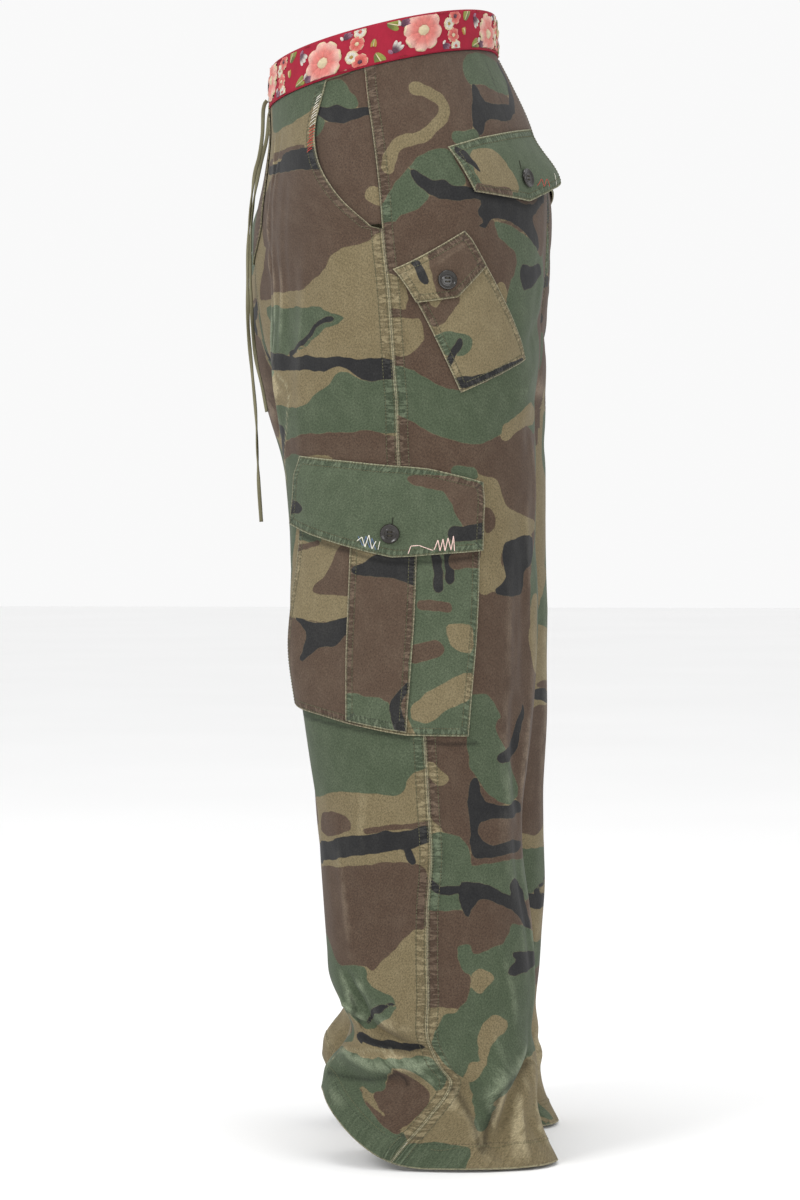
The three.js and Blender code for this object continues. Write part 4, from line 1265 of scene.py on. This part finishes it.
# the grid's values at a distance across its rows
def rowAcross(values, across, distance):
    row = np.arange(len(across))
    after = np.clip((across < distance).sum(axis=1), 1, across.shape[1] - 1)
    before = after - 1
    distance = np.broadcast_to(np.ravel(distance), row.shape)
    part = (distance - across[row, before]) / (across[row, after] - across[row, before])
    return mix(values[row, before], values[row, after], np.clip(part, 0, 1)[:, None])


# starts, ends and normals of the stitches at an even pitch along a line
def alongRow(line, normals):
    run = np.concatenate([[0], np.cumsum(np.linalg.norm(np.diff(line, axis=0), axis=1))])
    starts = np.arange(sewing["pitch"] / 2, run[-1] - sewing["length"], sewing["pitch"])
    at = lambda values, where: np.stack([np.interp(where, run, values[:, n]) for n in range(3)], axis=1)
    return at(line, starts), at(line, starts + sewing["length"]), at(normals, starts + sewing["length"] / 2)


# point = mix(start, end, t) + rise(t) up + radius (cos a side + sin a up)
def makeStitches(name, starts, ends, normals, radius, material):
    ahead = ends - starts
    side = np.cross(normals, ahead)
    side /= np.linalg.norm(side, axis=1, keepdims=True)
    up = np.cross(ahead, side)
    up /= np.linalg.norm(up, axis=1, keepdims=True)
    t, rise = sewing["at"][None, :, None], sewing["rise"][None, :, None] + radius - sewing["radius"]
    middle = mix(starts[:, None], ends[:, None], t) + rise * up[:, None]
    angle = np.radians([0, 90, 180, 270])[None, None, :, None]
    outward = np.cos(angle) * side[:, None, None] + np.sin(angle) * up[:, None, None]
    points = middle[:, :, None] + radius * outward
    at = np.arange(len(starts) * 16).reshape(len(starts), 4, 4)
    after = np.roll(at, -1, axis=2)
    quads = np.stack([at[:, :-1], after[:, :-1], after[:, 1:], at[:, 1:]], axis=-1).reshape(-1, 4)
    piece = meshObject(name, points.reshape(-1, 3), quads, [material], uv=points.reshape(-1, 3)[:, 1:])
    finishPiece(piece, "tape")


# rows at the same distances from the edges of a grid, kept clear of one another's ends
def sewnRows(grid, normal, distances, edges):
    across, along = arcAcross(grid), arcAcross(grid.transpose(1, 0, 2)).T
    edge = np.minimum(np.minimum(across, across[:, -1:] - across), np.minimum(along, along[-1:] - along))
    rows = []
    for distance in distances:
        sides = {"first": (grid, normal, edge, across, distance),
                 "last": (grid, normal, edge, across, across[:, -1:] - distance),
                 "top": (grid.transpose(1, 0, 2), normal.transpose(1, 0, 2), edge.T, along.T, distance),
                 "foot": (grid.transpose(1, 0, 2), normal.transpose(1, 0, 2), edge.T, along.T,
                          along[-1:].T - distance)}
        for name in edges:
            points, normals, clear, measure, at = sides[name]
            line, facing = rowAcross(points, measure, at), rowAcross(normals, measure, at)
            clear = rowAcross(clear[..., None], measure, at)[:, 0] > distance - 1.2
            rows.append(alongRow(line[clear], facing[clear]))
    return rows


def makeRows(name, rows):
    starts, ends, normals = (np.concatenate(parts) for parts in zip(*rows))
    makeStitches(name, starts, ends, normals, sewing["radius"], sewnThread)
    print(f"{name} {len(starts)} stitches")


for name, panel in panels.items():
    rows = sewnRows(panel["outer"], panel["normal"], stitchRows["fell"], ("first", "last"))
    rows += sewnRows(panel["outer"], panel["normal"], (hemTurned,), ("foot",))
    makeRows(f"{name}_stitches", rows)
for side, label in ((1, "left"), (-1, "right")):
    rows = []
    for (kind, patchSide), patch in patchGrids.items():
        if patchSide == side:
            edges = ("first", "last") if kind == "cargo_pleat" else ("first", "last", "top", "foot")
            rows += sewnRows(patch["outer"], patch["normal"], stitchRows["pocket"], edges)
    makeRows(f"pockets_{label}_stitches", rows)
print("stitches done")

# Hand mends and buttonholes, in the photograph's pixels: piece, thread, its radius in millimetres, how
# it runs, then the places. A line is sewn from place to place. An overcast edge has a stitch at each of
# an even count of places on the line, and each reaches as far as the slant.
mendThreads = {
    "white": plainCloth("white mending thread", "#d9d4c8"),
    "red": plainCloth("red mending thread", "#b4443f"),
    "pink": plainCloth("pink mending thread", "#e2c3ba"),
    "blue": plainCloth("blue mending thread", "#5d6f8a"),
    "dark": plainCloth("buttonhole thread", "#2b2d24"),
}
mends = [
    ("front_left", "white", 0.4, "overcast",
     [(322, 94), (319, 103), (317, 112), (315, 122)], 10, (-5.5, 4.5)),
    ("front_left", "red", 0.45, "overcast", [(315, 125), (312, 148)], 10, (-5.5, 4.0)),
    ("back_flap", "white", 0.32, "line",
     [(545, 184), (549, 164), (551, 184), (555, 160), (556, 186), (560, 172)]),
    ("back_flap", "red", 0.32, "line", [(537, 186), (541, 179), (544, 187), (547, 178), (550, 187)]),
    ("cargo_flap", "blue", 0.4, "line",
     [(358, 536), (363, 546), (366, 536), (370, 548), (372, 538), (376, 550)]),
    ("cargo_flap", "white", 0.45, "line",
     [(357, 541), (362, 537), (365, 547), (369, 535), (372, 549), (376, 541)]),
    ("cargo_flap", "white", 0.35, "line", [(380, 541), (378, 550)]),
    ("cargo_flap", "pink", 0.4, "line", [(408, 554), (411, 546), (419, 545.5), (433, 550.5)]),
    ("cargo_flap", "pink", 0.45, "line",
     [(434, 550), (438, 540), (440, 551), (443, 539), (445, 551), (448, 538), (451, 550), (453.5, 536),
      (454.5, 551)]),
    ("cargo_flap", "dark", 0.45, "line", [(393, 517), (391.8, 526)]),
    ("back_flap", "dark", 0.45, "line", [(519, 160), (521, 170)]),
]


def makeMend(number, on, thread, radius, kind, places, count=0, slant=(0, 0)):
    grid = panels[on] if on in panels else patchGrids[on, 1]
    if kind == "overcast":
        line = curveThrough(places, 8)
        line = line[np.linspace(0, len(line) - 1, count).astype(int)]
        starts, normals = spaceAt(grid["outer"], grid["normal"], line)
        ends = spaceAt(grid["outer"], grid["normal"], line + np.array(slant))[0]
    else:
        points, normals = spaceAt(grid["outer"], grid["normal"], places)
        starts, ends, normals = points[:-1], points[1:], normals[:-1] + normals[1:]
        normals = normals / np.linalg.norm(normals, axis=1, keepdims=True)
    makeStitches(f"mend_{number}_{thread}", starts, ends, normals, radius, mendThreads[thread])


for number, mend in enumerate(mends, 1):
    makeMend(number, *mend)
print("mends done")

# Waistband
band = {"end": 3.5, "dip": 5.0, "lap": body["bandThickness"] + 0.5}


# x = halfWidth cos^(2/power), y = centreY + halfDepth sin^(2/power), leaning in by 2% over its height
def bandPoint(turn, rise, offset):
    turn, rise, offset = np.broadcast_arrays(*(np.asarray(value, float) for value in (turn, rise, offset)))
    ring = ringAt(np.full(turn.shape, body["waistZ"]))
    lean = 1 - 0.02 * rise / body["bandHeight"]
    cosine = signedPower(np.cos(np.radians(turn)), 2 / ring["power"])
    sine = signedPower(np.sin(np.radians(turn)), 2 / ring["power"])
    x = ring["halfWidth"] * lean * (1 + offset / ring["halfWidth"]) * cosine
    y = ring["centreY"] + (ring["halfDepth"] * lean + offset) * sine
    return np.stack([x, y, body["waistZ"] + rise + ring["tilt"] * (y - 3)], axis=-1)


def makeBand():
    ends = (-90 - band["end"], 270 + band["end"])
    turn, rise = np.meshgrid(np.linspace(*ends, 361), np.linspace(body["bandHeight"], 0, 15))
    under = band["lap"] * smooth((turn - 270 + band["end"] + band["dip"]) / band["dip"])
    top = body["bandProud"] - under
    puff = 0.35 * hump(0.5 + 0 * rise, rise / body["bandHeight"])
    outer, inner = bandPoint(turn, rise, top + puff), bandPoint(turn, rise, top - body["bandThickness"])
    across = arcAcross(outer)
    place = np.stack([across, rise], axis=-1)
    piece = shell("waistband_cloth", 1, outer, inner, [bandCotton, bandCotton], place, {})
    finishPiece(piece, "band", "waistband")
    turn, rise = np.meshgrid(np.linspace(-90, 270, 361), np.linspace(7, -5, 7))
    outer, inner = bandPoint(turn, rise, -1.5), bandPoint(turn, rise, -2.3)
    place = np.stack([arcAcross(outer), rise], axis=-1)
    lining = shell("waistband_lining", 1, outer, inner, [tapeCotton, tapeCotton], place, {})
    finishPiece(lining, "band")


makeBand()
print("waistband done")

# Embroidery on the waistband: satin-stitch flowers, leaves and buds on the red ground. Each motif: kind,
# its middle in the photograph's pixels, size in millimetres, turn in degrees and thread colours.
flossTones = {
    "pink": "#cc7168", "palePink": "#d6a497", "cream": "#cbbb98", "white": "#c9c4ba", "coral": "#bf544b",
    "red": "#8e1422", "leaf": "#7f8432", "olive": "#565c22", "purple": "#4d2038", "mauve": "#8a5a70",
    "brown": "#5c3327", "gold": "#a08033",
}
motifs = [
    ("flower", 323, 63, 41, 10, "pink", "palePink", "cream"),
    ("bud", 301, 55, 12, -50, "purple", "white", "mauve"),
    ("leaf", 291, 63, 14, 60, "leaf", "olive", "cream"),
    ("leaf", 296, 87, 14, 20, "leaf", "olive", "cream"),
    ("bud", 305, 79, 12, -20, "purple", "mauve", "white"),
    ("flower", 281, 71, 13, 0, "white", "cream", "gold"),
    ("flower", 283, 92, 13, 30, "white", "cream", "coral"),
    ("flower", 272, 84, 9, 0, "coral", "pink", "white"),
    ("flower", 357, 44, 15, 20, "coral", "pink", "cream"),
    ("bud", 344, 40, 10, 40, "purple", "mauve", "white"),
    ("flower", 360, 62, 16, 0, "coral", "pink", "purple"),
    ("bud", 344, 74, 10, -40, "brown", "pink", "cream"),
    ("leaf", 338, 86, 10, -10, "olive", "leaf", "gold"),
    ("leaf", 310, 43, 9, 130, "olive", "leaf", "gold"),
    ("bud", 274, 68, 7, 80, "coral", "pink", "white"),
    ("leaf", 290, 78, 8, 100, "gold", "leaf", "cream"),
]
motifRepeat = 104.0  # millimetres along the band before the motifs come again
flossRise = 0.4  # millimetres that the petals' edges stand over the band


# the embroidery thread: a colour for each petal and fine ribs along its stitches
def bandFloss():
    material, tree, shader = newMaterial("embroidery floss")
    colour = node(tree, "Attribute", attribute_name="floss").node.outputs["Color"]
    place = clothPlace(tree)
    ribs = node(tree, "TexWave", {"Vector": stretched(tree, place, 0.62, 40.0), "Scale": 0.318,
                                  "Distortion": 1.2, "Detail": 2.0}, bands_direction="X")
    worn = noise(tree, stretched(tree, place, 2.2, 5.0), 3.0)
    light = maths(tree, "ADD", maths(tree, "MULTIPLY", ribs, 0.5), maths(tree, "MULTIPLY", worn, 0.6))
    light = maths(tree, "ADD", light, 0.4)
    shade = node(tree, "CombineColor", [light, light, light])
    tree.links.new(mixColour(tree, 1.0, colour, shade, "MULTIPLY"), shader.inputs["Base Color"])
    shader.inputs["Roughness"].default_value = 0.6
    shader.inputs["Sheen Weight"].default_value = 0.1
    bump = node(tree, "Bump", {"Strength": 0.8, "Distance": 0.3 * metre, "Height": ribs})
    tree.links.new(bump, shader.inputs["Normal"])
    return material


floss = bandFloss()


# A petal over u along it and v across: half width w(u) = sqrt(1 - (2u - 1)^2)^0.8, height (1 - v^2) w^0.5
# points on the band as arc, rise and height, with colours and the place on the threads
def petal(middle, angle, length, width, height, inner, outer, grid=(9, 7)):
    u, v = np.meshgrid(np.linspace(0.01, 0.99, grid[0]), np.linspace(-1, 1, grid[1]), indexing="ij")
    half = np.sqrt(1 - (2 * u - 1) ** 2) ** 0.8
    along, across = length * u, width / 2 * v * half
    cosine, sine = np.cos(np.radians(angle)), np.sin(np.radians(angle))
    arc = middle[0] + along * cosine - across * sine
    rise = middle[1] + along * sine + across * cosine
    tall = height * (1 - v**2) * np.sqrt(half) - 0.05
    blend = smooth((u - 0.35) / 0.5)[..., None]
    colour = mix(np.array(linear(flossTones[inner])), np.array(linear(flossTones[outer])), blend)
    return np.stack([arc, rise, tall], axis=-1), colour, np.stack([across, along], axis=-1)


# the petals of one motif, as petal() takes them
def motifPetals(kind, middle, size, angle, first, second, third):
    found = []
    if kind == "flower":
        count = 8 if size > 20 else 6
        inner, radius = size * 0.12, size / 2
        for i in range(count):
            turn = angle + 360 * i / count
            way = np.array([np.cos(np.radians(turn)), np.sin(np.radians(turn))])
            wide = 2.4 * radius * np.sin(np.pi / count) * 0.86
            found.append((middle + way * inner, turn, radius - inner, wide, 0.05 * size + 0.5, first, second))
            found.append((middle + way * (radius * 0.78), turn, radius * 0.24, wide * 0.7, 0.05 * size + 0.6,
                          second, "cream"))
        found.append((middle - np.array([size * 0.15, 0]), 0, size * 0.3, size * 0.3, 0.06 * size + 0.8,
                      third, third))
    elif kind == "leaf":
        for lean, tone in ((16, first), (-16, second)):
            found.append((middle, angle + lean, size, size * 0.42, 1.0, tone, first))
        found.append((middle, angle, size * 0.95, size * 0.12, 1.3, third, third))
    else:
        for lean in (-24, 0, 24):
            found.append((middle, angle + lean, size, size * 0.4, 1.1, first, second))
        found.append((middle - 0.5, angle + 90, size * 0.5, size * 0.3, 1.2, third, third))
    return found


def makeEmbroidery():
    ends = (-90 - band["end"], 270 + band["end"])
    turns = np.linspace(*ends, 721)
    arcs = np.concatenate([[0], np.cumsum(np.linalg.norm(np.diff(bandPoint(turns, 20, 0), axis=0), axis=1))])
    turn, rise = np.meshgrid(turns, np.linspace(0, body["bandHeight"], 41))
    grid = bandPoint(turn, rise, body["bandProud"])
    normal = np.stack([np.cos(np.radians(turn)), np.sin(np.radians(turn)), 0 * turn], axis=-1)
    place = np.stack([np.broadcast_to(arcs, turn.shape), rise], axis=-1)
    whole, edge = arcs[-1] - 6, 2.0
    points, faces, colours, threads = [], [], [], []
    repeats = int(whole / motifRepeat) + 1
    start = 0
    for repeat in range(-1, repeats):
        for kind, px, py, size, angle, *tones in motifs:
            middle = nearestOn(grid, normal, place, [(px, py)])[0]
            middle = middle + np.array([motifRepeat * repeat, 0.0])
            if repeat % 2:
                middle, angle = np.array([middle[0], body["bandHeight"] - middle[1]]), -angle
            for shape in motifPetals(kind, middle, size, angle, *tones):
                spot, colour, thread = petal(*shape)
                if spot[..., 0].min() < 3 or spot[..., 0].max() > whole:
                    continue
                spot[..., 1] = np.clip(spot[..., 1], edge, body["bandHeight"] - edge)
                at = np.interp(spot[..., 0], arcs, turns)
                tall = body["bandProud"] + flossRise + spot[..., 2]
                points.append(bandPoint(at, spot[..., 1], tall).reshape(-1, 3))
                rows, columns = spot.shape[:2]
                index = np.arange(rows * columns).reshape(rows, columns) + start
                faces.append(np.stack([index[:-1, :-1], index[1:, :-1], index[1:, 1:], index[:-1, 1:]],
                                      axis=-1).reshape(-1, 4))
                colours.append(colour.reshape(-1, 4))
                threads.append(thread.reshape(-1, 2))
                start += rows * columns
    piece = meshObject("waistband_embroidery", np.concatenate(points), np.concatenate(faces), [floss],
                       uv=np.concatenate(threads), values={"floss": np.concatenate(colours)})
    finishPiece(piece, "band")


makeEmbroidery()
print("embroidery done")

# Buttons: a turned disc with a raised rim and four holes, sewn on with two bars of thread
button = {"radius": 9.5, "thickness": 3.0, "holeReach": 2.4, "holeRadius": 1.0, "gap": 0.45}
buttonProfile = [(0, 0), (7.6, 0), (9.2, 0.9), (9.5, 1.6), (9.3, 2.4), (8.7, 2.95), (8.0, 2.9), (7.2, 2.3),
                 (6.6, 1.9), (5.2, 1.75), (4.6, 2.15), (3.9, 2.1), (0, 1.75)]


# point = (radius cos a, radius sin a, height) of the profile
def turned(profile, around=56):
    line = np.array(profile, float)
    angle = np.arange(around) * 2 * np.pi / around
    ring = line[1:-1]
    points = np.stack([ring[:, :1] * np.cos(angle), ring[:, :1] * np.sin(angle),
                       np.repeat(ring[:, 1:], around, axis=1)], axis=-1).reshape(-1, 3)
    at = np.arange(len(ring) * around).reshape(len(ring), around)
    after = np.roll(at, -1, axis=1)
    quads = np.stack([at[:-1], after[:-1], after[1:], at[1:]], axis=-1).reshape(-1, 4)
    low, high = len(points), len(points) + 1
    points = np.concatenate([points, [[0, 0, line[0, 1]], [0, 0, line[-1, 1]]]])
    lowCap = np.stack([after[0], at[0], np.full(around, low)], axis=1)
    highCap = np.stack([at[-1], after[-1], np.full(around, high)], axis=1)
    return points, quads.tolist() + lowCap.tolist() + highCap.tolist()


def rawObject(name, points, faces):
    mesh = bpy.data.meshes.new(name)
    mesh.from_pydata((np.asarray(points) * metre).tolist(), [], faces)
    made = bpy.data.objects.new(name, mesh)
    bpy.context.collection.objects.link(made)
    return made


# one button facing up, with its holes cut, as a mesh
def buttonMaster():
    disc = rawObject("button disc", *turned(buttonProfile))
    pin = [(0, -2), (button["holeRadius"], -2), (button["holeRadius"], 6), (0, 6)]
    for quarter in range(4):
        angle = np.radians(45 + 90 * quarter)
        points, faces = turned(pin, 20)
        points = points + button["holeReach"] * np.array([np.cos(angle), np.sin(angle), 0])
        cutter = rawObject(f"button hole {quarter}", points, faces)
        cut = disc.modifiers.new(f"hole {quarter}", "BOOLEAN")
        cut.operation, cut.object, cut.solver = "DIFFERENCE", cutter, "EXACT"
    evaluated = disc.evaluated_get(bpy.context.evaluated_depsgraph_get())
    mesh = bpy.data.meshes.new_from_object(evaluated)
    for cutter in [cut.object for cut in disc.modifiers]:
        bpy.data.objects.remove(cutter)
    bpy.data.objects.remove(disc)
    mesh.polygons.foreach_set("use_smooth", np.ones(len(mesh.polygons), bool))
    mesh.set_sharp_from_angle(angle=np.radians(35))
    return mesh


# moves what faces up so that it faces along a normal, with its own Y kept upright
def turnTo(point, normal):
    up = Vector((0, 0, 1))
    axisZ = Vector(normal).normalized()
    axisX = up.cross(axisZ).normalized()
    axisY = axisZ.cross(axisX)
    rotation = Matrix((axisX, axisY, axisZ)).transposed().to_4x4()
    return Matrix.Translation(Vector(point) * metre) @ rotation


def onCloth(side, turn, z, rise):
    (point,), normal = clothPoints(side, np.array(turn, float), np.array(z, float), np.array(rise, float))
    return point, normal


def onBand(turn, rise, offset):
    point = bandPoint(turn, rise, body["bandProud"] + offset)
    across = bandPoint(turn + 1, rise, 0) - bandPoint(turn - 1, rise, 0)
    return point, np.cross(across, bandPoint(turn, rise + 1, 0) - bandPoint(turn, rise - 1, 0))


lift = body["seat"] + body["cloth"] + button["gap"]
buttonPlaces = {"waist_button": onBand(-88.6, 27, button["gap"])}
for side, label in ((1, "left"), (-1, "right")):
    buttonPlaces[f"back_button_{label}"] = onCloth(side, 60.5, -141, lift + (2.2 if side > 0 else 1.7))
    buttonPlaces[f"cargo_button_{label}"] = onCloth(side, -4.5, -471, lift + flapRise)
buttonPlaces["hip_button"] = onCloth(1, 18.5, -230.6, lift + hipFlapRise)
threadDark = plainCloth("dark sewing thread", "#3b3830")


def makeButtons():
    master = buttonMaster()
    arc = np.linspace(0, np.pi, 13)
    for name, (point, normal) in buttonPlaces.items():
        mesh = master.copy()
        place = turnTo(point, normal)
        mesh.transform(place)
        mesh.materials.append(urea)
        disc = bpy.data.objects.new(f"{name}_disc", mesh)
        bpy.context.collection.objects.link(disc)
        finishPiece(disc, "button", name)
        for bar in (-1, 1):
            across = button["holeReach"] * np.sqrt(0.5)
            high = 1.0 + 1.6 * np.sin(arc)
            path = np.stack([-across * np.cos(arc), np.full(arc.shape, bar * across), high], axis=1)
            points, quads, spot = ribbon(path, 1.5, 1.0, np.array([0, 0, 1.0]), 8)
            thread = meshObject(f"{name}_thread_{'low' if bar < 0 else 'high'}", points, quads, [threadDark],
                                uv=spot)
            thread.data.transform(place)
            finishPiece(thread, "tape")
    bpy.data.meshes.remove(master)


makeButtons()

# Sewn eyelets on the band: a ring of thread round each hole
eyelet = {"outer": 5.5, "inner": 2.4, "thickness": 1.0}


def makeEyelet(label, turn):
    around, section = 96, 14
    ringAngle = np.arange(around) * 2 * np.pi / around
    angle = np.arange(section) * 2 * np.pi / section
    middle, half = (eyelet["outer"] + eyelet["inner"]) / 2, (eyelet["outer"] - eyelet["inner"]) / 2
    stitch = 1 + 0.09 * np.sin(ringAngle * 32)[:, None]
    radius = middle + half * np.cos(angle)[None, :] * stitch
    height = eyelet["thickness"] / 2 * (1 + np.sin(angle)[None, :] * stitch)
    cosine, sine = np.cos(ringAngle)[:, None], np.sin(ringAngle)[:, None]
    points = np.stack([radius * cosine, radius * sine, height], axis=-1)
    at = np.arange(around * section).reshape(around, section)
    turnOn, sideOn = np.roll(at, -1, axis=0), np.roll(at, -1, axis=1)
    quads = np.stack([at, turnOn, np.roll(turnOn, -1, axis=1), sideOn], axis=-1).reshape(-1, 4)
    spot = np.stack(np.broadcast_arrays(ringAngle[:, None] * middle, angle[None, :] * half), axis=-1)
    ring = meshObject(f"eyelet_{label}_ring", points.reshape(-1, 3), quads, [tapeCotton],
                      uv=spot.reshape(-1, 2))
    ring.data.transform(turnTo(*onBand(turn, 13, button["gap"])))
    finishPiece(ring, "tape", f"eyelet_{label}")


for label, turn in (("left", -82.6), ("right", -100)):
    makeEyelet(label, turn)
print("buttons and eyelets done")

# Floor, backdrop and light: a bright even studio

def makeStudio():
    span, floorZ = 40000.0, -1090.0
    corners = np.array([[-1, -1], [1, -1], [1, 1], [-1, 1]]) * span / 2
    points = np.column_stack([corners, np.full(4, floorZ)])
    material, tree, shader = newMaterial("white studio floor")
    here = node(tree, "TexCoord").node.outputs["Object"]
    cloud = noise(tree, here, 2.0)
    tree.links.new(mixColour(tree, cloud, linear("#f4f4f4"), linear("#fafafa")), shader.inputs["Base Color"])
    shader.inputs["Roughness"].default_value = 0.7
    meshObject("studio floor", points, [[0, 1, 2, 3]], [material])
    world = bpy.data.worlds.new("white studio")
    world.use_nodes = True
    world.node_tree.nodes["Background"].inputs[0].default_value = (1, 1, 1, 1)
    world.node_tree.nodes["Background"].inputs[1].default_value = 0.95
    bpy.context.scene.world = world
    lamps = (
        # name, place in metres, side of the square lamp in metres, watts
        ("key lamp", (3.0, -2.4, 2.2), 1.6, 95),
        ("fill lamp", (3.2, 2.6, 0.8), 2.0, 40),
        ("top lamp", (0.3, 0.0, 3.2), 1.6, 30),
    )
    for name, place, size, power in lamps:
        data = bpy.data.lights.new(name, "AREA")
        data.size, data.energy = size, power
        lamp = bpy.data.objects.new(name, data)
        lamp.location = place
        aim = Vector((0, 0, -0.5)) - Vector(place)
        lamp.rotation_euler = aim.to_track_quat("-Z", "Y").to_euler()
        bpy.context.collection.objects.link(lamp)
    bpy.context.scene.view_settings.view_transform = "Standard"


makeStudio()
